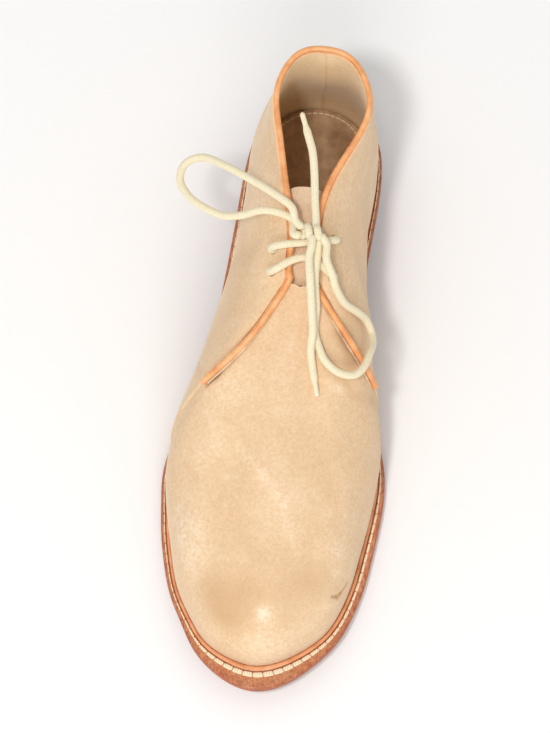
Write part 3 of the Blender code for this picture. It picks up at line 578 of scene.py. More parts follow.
# Insole: a sheet of smooth leather over cork, laid inside the lasted upper. The heel
# carries a soft sock with a pale stitched edge, which shows in the opening.
SOCK_PITCH, SOCK_LONG, SOCK_WIDE, SOCK_INSET = 0.0030, 0.0026, 0.0009, 0.0052
row_foot_inset = VAMP_WALL + GAP * 2
insole_leather = leather("insole_sheet", (0.36, 0.215, 0.115), (0.50, 0.315, 0.175),
                         (0.62, 0.42, 0.25), 0.78, grain=700, depth=0.6)


def insole_ring(extra, height):
    inset = row_at(LINES)[:, 0] + row_foot_inset + extra
    place = outline(LINES) - outward(LINES) * inset[:, None]
    return np.column_stack([place, floor_lift(place[:, 1]) + height])


insole_top = SEAT + INSOLE_THICKNESS
insole = sew("insole_sheet", [
    insole_ring(0, OUTSOLE_THICKNESS + GAP),
    insole_ring(0, insole_top - 0.0006),
    insole_ring(0.0003, insole_top - 0.0001),
    insole_ring(0.0008, insole_top),
    insole_ring(0.006, insole_top + 0.0001),
    insole_ring(0.014, insole_top - 0.0003),
], "caps", [insole_leather])
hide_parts("insole")

sock_span = np.linspace(line_of(-1, 0.34), line_of(1, 0.34) + 1, 500)
sock_inset = row_at(sock_span)[:, 0] + SOCK_INSET
sock_place = outline(sock_span) - outward(sock_span) * sock_inset[:, None]
sock_line = np.column_stack([sock_place, floor_lift(sock_place[:, 1]) + insole_top + 0.0002])
sock_out = np.column_stack([outward(sock_span), np.zeros(500)])
sock_up = np.tile((0.0, 0.0, 1.0), (500, 1))
sock_stitches = flat_stitches("sock_stitches", sock_line, sock_up, sock_out, SOCK_PITCH,
                              SOCK_LONG, np.full(500, SOCK_WIDE), THREAD_HIGH, welt_thread)


# Upper: sand suede, a plain vamp with two quarters over it, lasted wet so that it
# takes the foot's shape, and lined with thinner suede. The quarters stand a step
# proud of the vamp. Soft troughs and ridges, worn and brushed nap are laid on one by one.
FLAP_INNER = line_of(1, FLAP_FOOT_INNER)
FLAP_OUTER = line_of(-1, FLAP_FOOT_OUTER)
ROUND_COUNT, UP_COUNT, LINING_COUNT = 480, 76, 36
CREASES = (
    # from s, t, to s, t, width, depth (minus is a trough), tone: painted shade in troughs (minus is
    # darker), painted highlight on ridges
    # The next three rows paint shade into the small crease near the toe.
    (0.420, 0.250, 0.412, 0.205, 0.0007, -0.0008, -3.50),
    (0.412, 0.205, 0.405, 0.186, 0.0010, -0.0012, -5.00),
    (0.405, 0.186, 0.396, 0.180, 0.0008, -0.0008, -3.50),
    (0.430, 0.255, 0.414, 0.175, 0.0024, 0.0007, 0.35),
    (0.361, 0.781, 0.320, 0.659, 0.0034, 0.0008, 0.45),
    (0.350, 0.800, 0.312, 0.690, 0.0034, -0.0009, -0.70),
    (0.320, 0.659, 0.275, 0.455, 0.0034, -0.0008, -0.70),
    (0.579, 0.694, 0.528, 0.694, 0.0028, 0.0003, 0.50),
    (0.528, 0.694, 0.481, 0.644, 0.0024, 0.0003, 0.60),
    (0.481, 0.644, 0.459, 0.523, 0.0034, 0.0002, 0.30),
    (0.466, 0.650, 0.448, 0.620, 0.0028, 0.0001, 0.35),
    (0.272, 0.800, 0.285, 0.690, 0.0050, -0.0012, -0.80),
    (0.696, 0.850, 0.696, 0.670, 0.0026, -0.0010, -0.90),
    (0.805, 0.760, 0.815, 0.420, 0.0060, -0.0009, -0.20),
    (0.835, 0.700, 0.845, 0.380, 0.0070, 0.0008, 0.15),
    (0.170, 0.720, 0.190, 0.380, 0.0070, -0.0008, -0.20),
    (0.200, 0.690, 0.215, 0.400, 0.0070, 0.0006, 0.10),
    # Painted shadow: a thin dark line beside the outer flap's edge.
    (FLAP_OUTER - 0.0070, 0.612, FLAP_OUTER - 0.0065, 0.680, 0.0011, -0.0010, -4.00),
    (0.560, 0.800, 0.600, 0.560, 0.0080, -0.0007, -0.10),
    (0.440, 0.820, 0.400, 0.600, 0.0080, -0.0007, -0.10),
    (0.345, 0.560, 0.430, 0.600, 0.0080, -0.0006, -0.10),
    (0.660, 0.520, 0.590, 0.560, 0.0080, -0.0006, -0.10),
    (0.713, 0.557, 0.735, 0.430, 0.0012, -0.0005, -0.50),
    (0.735, 0.430, 0.753, 0.330, 0.0012, -0.0005, -0.50),
)
# Patches of the suede's pile, darker and paler; two marks below are painted light.
NAP_AND_PAINTED_LIGHT = (
    # s, t, radius, tone (minus is darker)
    (0.552, 0.345, 0.0100, -0.75),
    (0.530, 0.380, 0.0100, -0.55),
    (0.530, 0.280, 0.0080, -0.80),
    (0.548, 0.270, 0.0080, -0.60),
    (0.500, 0.420, 0.0110, -0.45),
    (0.455, 0.406, 0.0110, -0.60),
    (0.434, 0.370, 0.0090, -0.60),
    (0.470, 0.300, 0.0080, -0.40),
    # The next two rows are a painted highlight: a small pale shiny spot on the toe.
    (0.495, 0.345, 0.0030, 1.60),
    (0.489, 0.338, 0.0050, 0.80),
    (0.589, 0.304, 0.0080, 0.60),
    (0.617, 0.292, 0.0090, 0.60),
    (0.600, 0.400, 0.0120, 0.45),
    (0.403, 0.379, 0.0060, 0.45),
    (0.414, 0.325, 0.0040, 0.50),
    (0.493, 0.200, 0.0140, 0.45),
    (0.565, 0.220, 0.0090, 0.30),
    (0.663, 0.682, 0.0100, 0.35),
    (0.640, 0.520, 0.0150, 0.25),
    # Painted shade in the soft hollow by the inner flap line.
    (0.268, 0.750, 0.0050, -1.10),
    (0.176, 0.448, 0.0160, -0.35),
    (0.150, 0.600, 0.0160, -0.25),
    (0.837, 0.728, 0.0160, 0.45),
    (0.790, 0.560, 0.0160, -0.20),
    (0.450, 0.800, 0.0140, -0.15),
    (0.540, 0.550, 0.0140, -0.25),
    (0.420, 0.620, 0.0120, -0.20),
)


def flap_bow(s, t):
    s, bow = s % 1, 0.0
    for flap, sizes in ((FLAP_INNER, FLAP_BOW_INNER), (FLAP_OUTER, FLAP_BOW_OUTER)):
        most, to_toe, to_heel, late, soon = sizes
        peak = late / (late + soon)
        spread = np.where(abs(s - 0.5) < abs(flap - 0.5), to_toe, to_heel)
        share = (t / peak) ** late * ((1 - t) / (1 - peak)) ** soon
        bow = bow + most * share * np.exp(-((s - flap) / spread) ** 2)
    return bow


def upper_line(s, t):
    """Places on the vamp's skin: t is 0 at the welt and 1 at the top edge."""
    s, t = np.broadcast_arrays(np.asarray(s, float), np.asarray(t, float))
    s = s + flap_bow(s, t)
    inset, swell, swell_up, top_x, top_y, top_z, reach, drop = np.moveaxis(row_at(s), -1, 0)
    out = outward(s)
    foot = outline(s) - out * inset[..., None]
    low = floor_lift(foot[..., 1]) + SEAT
    rise = top_z - low
    first = np.concatenate([foot, low[..., None]], axis=-1)
    last = np.stack([top_x, top_y, top_z], axis=-1)
    run = first - last
    second = first + np.concatenate([out * swell[..., None], (rise * swell_up)[..., None]], axis=-1)
    third = last + np.stack([run[..., 0] * reach, run[..., 1] * reach, -rise * drop], axis=-1)
    t = t[..., None]
    u = 1 - t
    return u**3 * first + 3 * u * u * t * second + 3 * u * t * t * third + t**3 * last


def unit(vectors):
    return vectors / np.linalg.norm(vectors, axis=-1, keepdims=True)


def skin_frame(s, t):
    s, t = np.asarray(s, float), np.asarray(t, float)
    up = unit(upper_line(s, np.minimum(t + 0.01, 1)) - upper_line(s, np.maximum(t - 0.01, 0)))
    along = unit(upper_line(s + 0.003, t) - upper_line(s - 0.003, t))
    return along, up, unit(np.cross(up, along))


def skin_place(s, t, height=0.0):
    """Places at a height over the vamp's skin, or under it if negative."""
    place = upper_line(s, t) + skin_frame(s, t)[2] * np.asarray(height)[..., None]
    level = floor_lift(place[..., 1]) + SEAT
    foot = np.broadcast_to(np.asarray(t) == 0, level.shape)
    place[..., 2] = np.where(foot, level, place[..., 2])
    return place


def suede(name, deep, plain, pale, patches):
    """Brushed suede: lying pile in drifts, fine fibres, a soft sheen at the edges. With patches, a
    point attribute adds darker and paler patches of the pile, painted shade and painted highlights.
    """
    material = bpy.data.materials.new(name)
    material.use_nodes = True
    links = material.node_tree.links
    shader = material.node_tree.nodes["Principled BSDF"]
    places = node_of(material, "ShaderNodeTexCoord")
    drifts = node_of(material, "ShaderNodeTexNoise", Scale=46, Detail=5, Roughness=0.6,
                     Distortion=0.7)
    tufts = node_of(material, "ShaderNodeTexNoise", Scale=540, Detail=4, Roughness=0.65)
    fibres = node_of(material, "ShaderNodeTexNoise", Scale=2100, Detail=3, Roughness=0.7)
    for texture in (drifts, tufts, fibres):
        links.new(places.outputs["Object"], texture.inputs["Vector"])
    near = node_of(material, "ShaderNodeMath", operation="MULTIPLY_ADD")
    near.inputs[1].default_value = 0.27
    links.new(drifts.outputs["Fac"], near.inputs[0])
    small = node_of(material, "ShaderNodeMath", operation="MULTIPLY_ADD")
    small.inputs[1].default_value = 0.37
    links.new(tufts.outputs["Fac"], small.inputs[0])
    links.new(small.outputs[0], near.inputs[2])
    tiny = node_of(material, "ShaderNodeMath", operation="MULTIPLY_ADD")
    tiny.inputs[1].default_value = 0.46
    tiny.inputs[2].default_value = -0.04
    links.new(fibres.outputs["Fac"], tiny.inputs[0])
    links.new(tiny.outputs[0], small.inputs[2])
    height = near.outputs[0]
    # The point attribute brings in patches of the suede's pile together with painted shade and painted
    # highlights.
    if patches:
        nap_patches_and_painted_light = node_of(material, "ShaderNodeAttribute", attribute_name="nap_and_painted_light")
        speckle = node_of(material, "ShaderNodeMapRange")
        speckle.inputs["From Min"].default_value = 0.36
        speckle.inputs["From Max"].default_value = 0.64
        speckle.inputs["To Min"].default_value = 0.09
        speckle.inputs["To Max"].default_value = 0.20
        links.new(tufts.outputs["Fac"], speckle.inputs["Value"])
        added = node_of(material, "ShaderNodeMath", operation="MULTIPLY_ADD")
        links.new(nap_patches_and_painted_light.outputs["Fac"], added.inputs[0])
        links.new(speckle.outputs[0], added.inputs[1])
        links.new(height, added.inputs[2])
        height = added.outputs[0]
    tone = node_of(material, "ShaderNodeValToRGB")
    tone.color_ramp.elements[0].position = 0.30
    tone.color_ramp.elements[0].color = (*deep, 1)
    tone.color_ramp.elements[1].position = 0.74
    tone.color_ramp.elements[1].color = (*pale, 1)
    middle = tone.color_ramp.elements.new(0.52)
    middle.color = (*plain, 1)
    links.new(height, tone.inputs["Fac"])
    links.new(tone.outputs["Color"], shader.inputs["Base Color"])
    shader.inputs["Roughness"].default_value = 0.95
    shader.inputs["Specular IOR Level"].default_value = 0.15
    shader.inputs["Sheen Weight"].default_value = 0.30
    shader.inputs["Sheen Roughness"].default_value = 0.45
    shader.inputs["Sheen Tint"].default_value = (1.0, 0.93, 0.82, 1)
    bump = node_of(material, "ShaderNodeBump", Strength=0.42, Distance=0.0004)
    links.new(tiny.outputs[0], bump.inputs["Height"])
    links.new(bump.outputs["Normal"], shader.inputs["Normal"])
    return material


def distance_to_line(places, start, end):
    line = end - start
    share = np.clip(((places - start) @ line) / (line @ line), 0, 1)
    return np.linalg.norm(places - start - share[..., None] * line, axis=-1), share


def quarter_step(s):
    """Share of the step: 0 on the vamp, 1 on the quarters, over half a millimetre."""
    inside = np.minimum(s - FLAP_INNER, FLAP_OUTER - s)
    return ease((0.0006 - inside) / 0.0012)


spread = np.linspace(0, 1, ROUND_COUNT, endpoint=False)
near_step = np.linspace(-0.0012, 0.0012, 7)
near_flaps = np.concatenate([FLAP_INNER + near_step, FLAP_OUTER + near_step])
far = np.minimum(abs(spread - FLAP_INNER), abs(spread - FLAP_OUTER)) > 0.0016
near_crease = np.linspace(0.388, 0.430, 61)                    # closer lines at the small crease
far = far & (abs(spread - 0.409) > 0.0222)
columns = np.sort(np.concatenate([spread[far], near_flaps, near_crease]))
columns = columns[:len(columns) // 2 * 2]
rises = np.unique(np.concatenate([np.linspace(0, 1, UP_COUNT + 1), np.linspace(0.16, 0.27, 40)]))
sheet_s, sheet_t = np.meshgrid(columns, rises)
bare = upper_line(sheet_s, sheet_t)
relief = FLAP_STEP * quarter_step(sheet_s)
tone = np.zeros_like(sheet_s)
for from_s, from_t, to_s, to_t, width, depth, shade in CREASES:
    start, end = upper_line(from_s, from_t), upper_line(to_s, to_t)
    off, share = distance_to_line(bare, start, end)
    relief = relief + depth * np.exp(-(off / width) ** 2)
    # Painted shade and highlight: each trough is darkened and each ridge made paler along with its
    # relief.
    tone = tone + shade * np.exp(-(off / width) ** 2)
for at_s, at_t, radius, strength in NAP_AND_PAINTED_LIGHT:
    off = np.linalg.norm(bare - upper_line(at_s, at_t), axis=-1)
    tone = tone + strength * np.exp(-(off / radius) ** 2)
x, y, z = np.moveaxis(bare, -1, 0)
calm = np.minimum(1, np.minimum(sheet_t, 1 - sheet_t) * 8)
relief = relief + calm * 0.00022 * (np.sin(x * 150 + z * 90 + 1) * np.sin(y * 110 + 2)
                                    + np.sin(x * 70 - y * 160 + z * 60))
# Painted shade: the foot of the upper is darkened in a thin band along the welt.
tone = tone - 0.5 * np.exp(-(sheet_t / 0.035) ** 2)
outside = [skin_place(columns, np.full(len(columns), t), high) for t, high in zip(rises, relief)]
lining_rises = np.linspace(1, 0, LINING_COUNT + 1)
lining_s, lining_t = np.meshgrid(columns, lining_rises)
from_back = np.minimum(lining_s, 1 - lining_s) * 0.60
inner_relief = -VAMP_WALL - 0.00035 * np.exp(-(from_back / 0.0012) ** 2)
slack = (1 - lining_t) * lining_t * 4
inner_relief = inner_relief + 0.0003 * slack * np.sin(lining_s * 50) * np.sin(lining_t * 9)
# Painted shade: the lining is darkened in the back seam's trough and in a thin line along a fold.
lining_painted_shade = -1.0 * np.exp(-(from_back / 0.0010) ** 2)
lining_painted_shade = lining_painted_shade - 0.3 * np.exp(-((lining_t - 0.62) / 0.02) ** 2)
inside = [skin_place(columns, np.full(len(columns), t), high)
          for t, high in zip(lining_rises, inner_relief)]

vamp_suede = suede("sand_suede", (0.62, 0.40, 0.22), (0.77, 0.545, 0.335), (0.90, 0.73, 0.535), True)
lining_suede = suede("lining_suede", (0.76, 0.50, 0.26), (0.94, 0.70, 0.42), (0.98, 0.82, 0.56), True)
upper = sew("suede_upper", outside + inside, "hoop", [vamp_suede, lining_suede],
            faces_of=lambda ring: 0 if ring < len(rises) - 1 else 1)
# The point attribute carries the pile patches with painted shade and highlights on the upper, and
# painted shade on the lining.
nap_and_painted_light = upper.data.attributes.new("nap_and_painted_light", "FLOAT", "POINT")
nap_and_painted_light.data.foreach_set("value", np.concatenate([tone.ravel(), lining_painted_shade.ravel()]))
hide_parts("upper")


# Tongue: a leaf of the same suede, sewn in under the vamp at the foot of the gap and
# tucked under both facings. Its cut top edge shows pale in the opening.
TONGUE_WALL, TONGUE_TUCK, TONGUE_CLEAR, TONGUE_SINK = 0.0022, 0.011, 0.0006, 0.0013
TONGUE_TOP, TONGUE_CROWN, TONGUE_FRONT = 0.266, 0.7, 1.2 / 72
TONGUE_ROOT, TONGUE_ROOT_STEPS = 0.45, 8
TONGUE_STEPS, TUCK_STEPS, SPAN_STEPS = 26, 6, 10


def down_from_edge(s, distance):
    span = np.linspace(1, 0, 401)
    line = upper_line(s, span)
    travel = np.concatenate([[0], np.cumsum(np.linalg.norm(np.diff(line, axis=0), axis=1))])
    return float(np.interp(distance, travel, span))


def line_by_top(side, top_share):
    feet = np.linspace(0.10, 0.55, 91)
    tops = [0.5 - (row_at(line_of(side, foot))[4] + MIDDLE[1]) / LENGTH for foot in feet]
    return line_of(side, float(np.interp(top_share, tops, feet)))


def tongue_strip(inner, outer, depth):
    def tucked(s):
        low = down_from_edge(s, TONGUE_TUCK)
        shares = np.linspace(0, 1, TUCK_STEPS + 1)
        places = np.full(len(shares), s)
        return skin_place(places, low + (1 - low) * shares, -depth - TONGUE_SINK * shares)

    left, right = tucked(inner), tucked(outer)[::-1]
    start, end = left[-1], right[0]
    span = np.linalg.norm(end - start)
    leave = unit(start - left[-2]) * span * TONGUE_CROWN
    arrive = unit(right[1] - end) * span * TONGUE_CROWN
    strip = list(left)
    for i in range(1, SPAN_STEPS):
        u = i / SPAN_STEPS
        rise = u * (1 - u) ** 2 * leave - u * u * (1 - u) * arrive
        strip.append(start + (end - start) * u * u * (3 - 2 * u) + rise)
    return strip + list(right)


tongue_inner, tongue_outer = line_by_top(1, TONGUE_TOP), line_by_top(-1, TONGUE_TOP)
tongue_depth = VAMP_WALL + TONGUE_CLEAR
tongue_rows = []
for i in range(-TONGUE_ROOT_STEPS, TONGUE_STEPS + 1):
    u = i / TONGUE_STEPS if i > 0 else -i / TONGUE_ROOT_STEPS
    inner_end = tongue_inner if i > 0 else TONGUE_ROOT
    outer_end = tongue_outer if i > 0 else 1 - TONGUE_ROOT
    from_inner = (FLAP_INNER + TONGUE_FRONT) + (inner_end - FLAP_INNER - TONGUE_FRONT) * u
    from_outer = (FLAP_OUTER - TONGUE_FRONT) + (outer_end - FLAP_OUTER + TONGUE_FRONT) * u
    over = tongue_strip(from_inner, from_outer, tongue_depth)
    under = tongue_strip(from_inner, from_outer, tongue_depth + TONGUE_WALL)
    tongue_rows.append(np.array(over + under[::-1]))
tongue_suede = suede("tongue_suede", (0.62, 0.42, 0.26), (0.80, 0.59, 0.40),
                     (0.92, 0.76, 0.57), False)
tongue = sew("suede_tongue", tongue_rows, "caps", [tongue_suede])
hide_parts("tongue")


# Piping: a strip of orange-tan leather, folded over a core and sewn into the edge of
# each quarter, up the facings and round the collar. A pale cut edge shows beside it.
PIPING_DIAMETER, PIPING_CLEAR = 0.0028, 0.0006
PIPING_FROM_INNER, PIPING_FROM_OUTER = 0.44, 0.59
PIPING_TO, PIPING_SETTLE = 0.975, 0.030
STEP_WIDTH = 0.0006


def square_to(line, out, towards):
    aim = unit(np.cross(line, out))
    return aim if aim @ towards > 0 else -aim


def piping_route(away, flap_points=34, edge_points=220):
    """From the outer flap's foot, round the collar, to the inner flap's foot."""
    level = (FLAP_STEP - VAMP_WALL) / 2

    def flap(s, vamp_side, begin):
        places = []
        for t in np.linspace(begin, PIPING_TO, flap_points):
            along, up, out = skin_frame(s, t)
            places.append(upper_line(s, t) + (out + square_to(up, out, along * vamp_side)) * away)
        return places

    def corner(s, vamp_side):
        along, up, out = skin_frame(s, 1.0)
        side, front = square_to(up, out, along * vamp_side), square_to(along, out, up)
        return [upper_line(s, 1.0) + (unit(side * (1 - share) + front * share) + out) * away
                for share in (0.15, 0.5, 0.85)]

    def edge(start, stop):
        places = []
        for i in range(1, edge_points):
            s = start + (stop - start) * i / edge_points
            height = away + (level - away) * ease(min(s - start, stop - s) / PIPING_SETTLE)
            along, up, out = skin_frame(s % 1, 1.0)
            places.append(upper_line(s % 1, 1.0) + square_to(along, out, up) * away + out * height)
        return places

    outer = flap(FLAP_OUTER - STEP_WIDTH, -1, PIPING_FROM_OUTER) + corner(FLAP_OUTER, -1)
    inner = flap(FLAP_INNER + STEP_WIDTH, 1, PIPING_FROM_INNER) + corner(FLAP_INNER, 1)
    return np.array(outer + edge(FLAP_OUTER, FLAP_INNER + 1) + inner[::-1])


def smooth_route(places, stride):
    """Curve through places, resampled at an even stride."""
    places = np.asarray(places, float)
    padded = np.vstack([2 * places[0] - places[1], places, 2 * places[-1] - places[-2]])
    curve = []
    for a, b, c, d in zip(padded, padded[1:], padded[2:], padded[3:]):
        for t in np.linspace(0, 1, 16, endpoint=False):
            curve.append(0.5 * (2 * b + (c - a) * t + (2 * a - 5 * b + 4 * c - d) * t * t
                                + (3 * b - a - 3 * c + d) * t**3))
    curve = np.array(curve + [places[-1]])
    travel = np.concatenate([[0], np.cumsum(np.linalg.norm(np.diff(curve, axis=0), axis=1))])
    marks = np.linspace(0, travel[-1], max(2, int(round(travel[-1] / stride)) + 1))
    return np.column_stack([np.interp(marks, travel, curve[:, k]) for k in range(3)])


def tube(name, route, radius, sides, material, round_ends=True):
    """Round tube along a route. radius is one value or one for each place."""
    count = len(route)
    radii = np.broadcast_to(np.asarray(radius, float), (count,)).copy()
    travel = np.concatenate([[0], np.cumsum(np.linalg.norm(np.diff(route, axis=0), axis=1))])
    if round_ends:
        for end in (travel, travel[-1] - travel):
            near = np.clip(end / radii, 0, 1)
            radii = radii * np.sqrt(np.clip(1 - (1 - near) ** 2, 0.02, 1))
    heading = np.gradient(route, axis=0)
    heading = unit(heading)
    side = unit(np.cross(heading[0], (0.3, 0.2, 1.0)))
    vertices, faces, loops_uv = [], [], []
    for i in range(count):
        side = unit(side - heading[i] * (side @ heading[i]))
        other = np.cross(heading[i], side)
        turn = 2 * np.pi * np.arange(sides) / sides
        round_it = np.cos(turn)[:, None] * side + np.sin(turn)[:, None] * other
        vertices.append(route[i] + radii[i] * round_it)
    for i in range(count - 1):
        for k in range(sides):
            j = (k + 1) % sides
            faces.append((i * sides + k, i * sides + j, (i + 1) * sides + j, (i + 1) * sides + k))
            here, there = travel[i], travel[i + 1]
            loops_uv.append(((here, k), (here, k + 1), (there, k + 1), (there, k)))
    faces.append(tuple(range(sides))[::-1])
    faces.append(tuple((count - 1) * sides + k for k in range(sides)))
    mesh = bpy.data.meshes.new(name)
    mesh.from_pydata(np.concatenate(vertices).tolist(), [], faces)
    mesh.shade_smooth()
    mesh.materials.append(material)
    layer = mesh.uv_layers.new(name="UVMap")
    girth = 2 * math.pi * float(np.max(radii))
    flat = [(u / girth, v / sides) for quad in loops_uv for u, v in quad]
    flat += [(0, 0)] * (2 * sides)
    layer.data.foreach_set("uv", np.array(flat, float).ravel())
    piece = bpy.data.objects.new(name, mesh)
    bpy.context.scene.collection.objects.link(piece)
    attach(piece, "root")
    return piece


piping_leather = leather("piping_strip", (0.70, 0.26, 0.085), (0.86, 0.385, 0.145),
                         (0.93, 0.52, 0.25), 0.36, grain=1300, depth=0.3)
piping_line = smooth_route(piping_route(PIPING_DIAMETER / 2 + PIPING_CLEAR), 0.0012)
piping = tube("piping_binding", piping_line, PIPING_DIAMETER / 2 + 0.0001, 16, piping_leather)
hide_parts("piping")
flange = tube("piping_flange", smooth_route(piping_route(0.0010), 0.0012), 0.00095, 10, piping_leather)

pale_edge = leather("pale_cut_edge", (0.48, 0.31, 0.18), (0.66, 0.47, 0.30), (0.80, 0.63, 0.45), 0.8)
for flap_name, flap_s, vamp_side, begin in (
        ("inner", FLAP_INNER + STEP_WIDTH, 1, PIPING_FROM_INNER),
        ("outer", FLAP_OUTER - STEP_WIDTH, -1, PIPING_FROM_OUTER)):
    edge_places = []
    for t in np.linspace(begin + 0.02, 0.985, 60):
        along, up, out = skin_frame(flap_s, t)
        aim = square_to(up, out, along * vamp_side)
        edge_places.append(upper_line(flap_s, t) + aim * 0.0034 + out * 0.0004)
    cut_edge = tube(f"flap_cut_edge_{flap_name}", np.array(edge_places), 0.0006, 8, pale_edge)


# Lace: a round braided cotton cord, waxed, run through two pairs of punched holes
# and tied in a bow. Its stretches are the two bars, the knot, two loops and two ends,
# which close in hard tips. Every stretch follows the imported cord's own points.
LACE_DIAMETER, EYELET_DIAMETER = 0.0038, 0.0046
EYELET_ROWS = (
    # side, share of LENGTH of the line's foot, distance in from the edge
    (1, 0.405, 0.0125),
    (1, 0.468, 0.0140),
    (-1, 0.452, 0.0095),
    (-1, 0.515, 0.0100),
)
BAR_FOOT, BAR_CREST, BAR_STEPS, BAR_PULL = 0.0015, 0.0071, 9, 0.0085
KNOT_RISE, KNOT_BACK = 0.0070, 0.0024
KNOT_RADIUS, KNOT_LENGTH, KNOT_TURNS, KNOT_START = 0.0025, 0.0086, 2, 3.5
SKIN_GAP = FLAP_STEP + LACE_DIAMETER / 2
TIP_LONG, TIP_THIN = 0.010, 0.66
LOOP_LEFT = (
    # inward, back, up from the middle of the knot
    (-0.0040, 0.0010, 0.0012),
    (-0.0083, 0.0048, 0.0012),
    (-0.0111, 0.0108, 0.0035),
    (-0.0217, 0.0176, 0.0023),
    (-0.0327, 0.0238, -0.0003),
    (-0.0451, 0.0302, -0.0038),
    (-0.0562, 0.0350, -0.0083),
    (-0.0646, 0.0323, -0.0118),
    (-0.0666, 0.0250, -0.0143),
    (-0.0628, 0.0181, -0.0143),
    (-0.0560, 0.0125, -0.0128),
    (-0.0443, 0.0072, -0.0103),
    (-0.0348, 0.0073, -0.0076),
    (-0.0256, 0.0101, -0.0053),
    (-0.0167, 0.0098, -0.0045),
    (-0.0095, 0.0064, -0.0036),
    (-0.0083, -0.0016, -0.0008),
    (-0.0042, -0.0018, 0.0002),
)
LOOP_RIGHT = (
    # inward, back, up from the middle of the knot
    (0.0040, -0.0005, 0.0006),
    (0.0078, -0.0046, -0.0016),
    (0.0086, -0.0115, -0.0031),
    (0.0121, -0.0177, -0.0069),
    (0.0147, -0.0222, -0.0135),
    # rows of four lie on the upper: round, up, gap, 0
    (0.2418, 0.827, 0.0014, 0),
    (0.2307, 0.702, 0.0009, 0),
    (0.2252, 0.600, 0.0009, 0),
    (0.2290, 0.545, 0.0016, 0),
    (0.2420, 0.580, 0.0029, 0),
    (0.2603, 0.640, 0.0034, 0),
    (0.2850, 0.680, 0.0034, 0),
    (0.3089, 0.707, 0.0034, 0),
    (0.3428, 0.775, 0.0031, 0),
    (0.3681, 0.840, 0.0019, 0),
    (0.3776, 0.882, 0.0005, 0),
    (0.3800, 0.915, 0.0001, 0),
    (0.0062, -0.0306, -0.0193),
    (0.0049, -0.0241, -0.0137),
    (0.0040, -0.0175, -0.0081),
    (0.0042, -0.0086, -0.0046),
    (0.0036, -0.0022, -0.0012),
)
END_UP = (
    (0.0018, 0.0010, 0.0010),
    (0.0016, 0.0052, 0.0006),
    (-0.0001, 0.0155, 0.0032),
    (-0.0016, 0.0262, 0.0072),
    (-0.0036, 0.0360, 0.0112),
    (-0.0060, 0.0420, 0.0137),
    (-0.0111, 0.0538, 0.0177),
)
END_DOWN = (
    (0.0006, -0.0016, 0.0020),
    (0.0010, -0.0070, 0.0016),
    (0.0004, -0.0128, -0.0003),
    (0.0019, -0.0218, -0.0027),
    (0.0033, -0.0290, -0.0085),
    (0.0046, -0.0358, -0.0153),
    (0.0058, -0.0426, -0.0203),
    (0.4110, 0.896, 0.0029, 0),
    (0.4157, 0.873, -0.0005, 0),
    (0.4135, 0.842, -0.0006, 0),
    (0.4106, 0.805, -0.0006, 0),
)


def eyelet_frames():
    frames = []
    for side, foot, inset in EYELET_ROWS:
        s = line_of(side, foot)
        t = down_from_edge(s, inset)
        frames.append((skin_place(s, t, FLAP_STEP), skin_frame(s, t)[2]))
    return frames


def bar_places(inner, outer, pull=0.0):
    """A bar over the facings, its ends turned down into the two holes."""
    (start, start_out), (end, end_out) = inner, outer
    across = unit(end - start)
    places = [start - start_out * 0.0040 - across * 0.0012, start - start_out * 0.0012]
    for i in range(BAR_STEPS + 1):
        u = i / BAR_STEPS
        out = unit(start_out * (1 - u) + end_out * u)
        bow = BAR_CREST * (1 - (2 * u - 1) ** 4)
        drawn = np.array((0, pull * math.sin(math.pi * u) ** 2, 0))
        places.append(start * (1 - u) + end * u + out * (BAR_FOOT + bow) + drawn)
    return places + [end - end_out * 0.0012, end - end_out * 0.0040 + across * 0.0012]


frames = eyelet_frames()
knot_crest = bar_places(frames[0], frames[2])[2 + BAR_STEPS // 2]
knot_middle = knot_crest + (0, KNOT_BACK, KNOT_RISE)


def lace_route(rows):
    places = []
    for row in rows:
        if len(row) == 3:
            places.append(knot_middle + row)
        else:
            places.append(skin_place(row[0], row[1], SKIN_GAP + row[2]))
    return smooth_route(places, 0.0009)


coil = []
for share in np.linspace(0, 1, 33):
    turn = 2 * math.pi * KNOT_TURNS * share + KNOT_START
    round_it = (0, KNOT_RADIUS * math.cos(turn), KNOT_RADIUS * math.sin(turn))
    coil.append(knot_middle + (KNOT_LENGTH * (share - 0.5), 0, 0) + round_it)

lace_cotton = bpy.data.materials.new("braided_cotton")
lace_cotton.use_nodes = True
links = lace_cotton.node_tree.links
shader = lace_cotton.node_tree.nodes["Principled BSDF"]
places = node_of(lace_cotton, "ShaderNodeTexCoord")
apart = node_of(lace_cotton, "ShaderNodeSeparateXYZ")
links.new(places.outputs["UV"], apart.inputs[0])
strands = []
for lean in (1, -1):
    slope = node_of(lace_cotton, "ShaderNodeMath", operation="MULTIPLY")
    slope.inputs[1].default_value = 2 * math.pi * 5 * lean
    links.new(apart.outputs["Y"], slope.inputs[0])
    phase = node_of(lace_cotton, "ShaderNodeMath", operation="MULTIPLY_ADD")
    phase.inputs[1].default_value = 2 * math.pi * 6
    links.new(apart.outputs["X"], phase.inputs[0])
    links.new(slope.outputs[0], phase.inputs[2])
    wave = node_of(lace_cotton, "ShaderNodeMath", operation="SINE")
    links.new(phase.outputs[0], wave.inputs[0])
    strands.append(wave)
braid = node_of(lace_cotton, "ShaderNodeMath", operation="MULTIPLY")
links.new(strands[0].outputs[0], braid.inputs[0])
links.new(strands[1].outputs[0], braid.inputs[1])
spun = node_of(lace_cotton, "ShaderNodeTexNoise", Scale=1500, Detail=3, Roughness=0.6)
links.new(places.outputs["Object"], spun.inputs["Vector"])
level = node_of(lace_cotton, "ShaderNodeMath", operation="MULTIPLY_ADD")
level.inputs[1].default_value = 0.16
links.new(braid.outputs[0], level.inputs[0])
links.new(spun.outputs["Fac"], level.inputs[2])
tint = node_of(lace_cotton, "ShaderNodeValToRGB")
tint.color_ramp.elements[0].position = 0.15
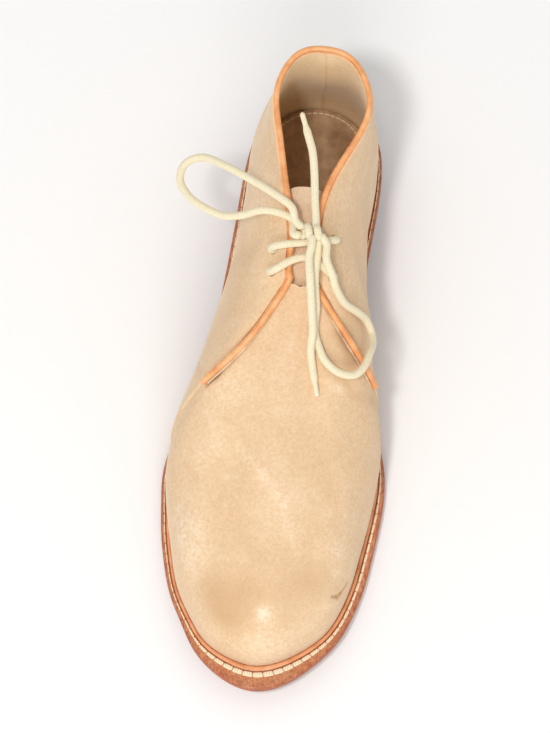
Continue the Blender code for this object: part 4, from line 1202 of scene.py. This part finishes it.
tint.color_ramp.elements[0].color = (0.70, 0.58, 0.37, 1)
tint.color_ramp.elements[1].position = 0.62
tint.color_ramp.elements[1].color = (0.86, 0.785, 0.56, 1)
links.new(level.outputs[0], tint.inputs["Fac"])
links.new(tint.outputs["Color"], shader.inputs["Base Color"])
shader.inputs["Roughness"].default_value = 0.85
shader.inputs["Sheen Weight"].default_value = 0.2
bump = node_of(lace_cotton, "ShaderNodeBump", Strength=0.2, Distance=0.0003)
links.new(level.outputs[0], bump.inputs["Height"])
links.new(bump.outputs["Normal"], shader.inputs["Normal"])


def lace(name, node, route, tip=False):
    radius = np.full(len(route), LACE_DIAMETER / 2)
    steps = np.linalg.norm(np.diff(route, axis=0), axis=1)
    travel = np.concatenate([[0], np.cumsum(steps)])
    if tip:
        radius *= 1 - (1 - TIP_THIN) * ease((travel - travel[-1] + TIP_LONG) / 0.004)
    piece = tube(name, route, radius, 18, lace_cotton)
    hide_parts(node)
    return piece


bar_upper = smooth_route(bar_places(frames[0], frames[2]), 0.0009)
bar_lower = smooth_route(bar_places(frames[1], frames[3], BAR_PULL), 0.0009)
lace("lace_upper_bar", "lace_bar_upper", bar_upper)
lace("lace_lower_bar", "lace_bar_lower", bar_lower)
lace("lace_wrapped_knot", "lace_knot", smooth_route(coil, 0.0009))
lace("lace_left_loop", "lace_loop_left", lace_route(LOOP_LEFT))
lace("lace_right_loop", "lace_loop_right", lace_route(LOOP_RIGHT))
lace("lace_upper_end", "lace_end_up", lace_route(END_UP), tip=True)
lace("lace_lower_end", "lace_end_down", lace_route(END_DOWN), tip=True)


# The four lace holes are punched clean through the facings and the lining.
punch_vertices, punch_faces = [], []
for place, out in frames:
    across = unit(np.cross(out, (0, 1, 0)))
    other = np.cross(out, across)
    base = len(punch_vertices)
    for height in (-0.006, 0.006):
        for i in range(28):
            turn = 2 * math.pi * i / 28
            round_it = across * math.cos(turn) + other * math.sin(turn)
            punch_vertices.append(place + out * height + round_it * EYELET_DIAMETER / 2)
    for i in range(28):
        j = (i + 1) % 28
        punch_faces.append((base + i, base + j, base + 28 + j, base + 28 + i))
    punch_faces.append(tuple(base + i for i in range(28))[::-1])
    punch_faces.append(tuple(base + 28 + i for i in range(28)))
punch_mesh = bpy.data.meshes.new("lace_hole_punch")
punch_mesh.from_pydata([tuple(v) for v in punch_vertices], [], punch_faces)
punch = bpy.data.objects.new("lace_hole_punch", punch_mesh)
bpy.context.scene.collection.objects.link(punch)
cut = upper.modifiers.new("lace_holes", "BOOLEAN")
cut.operation = "DIFFERENCE"
cut.solver = "EXACT"
cut.object = punch
bpy.context.view_layer.update()
punched = bpy.data.meshes.new_from_object(upper.evaluated_get(bpy.context.evaluated_depsgraph_get()))
upper.modifiers.remove(cut)
upper.data = punched
bpy.data.objects.remove(punch)
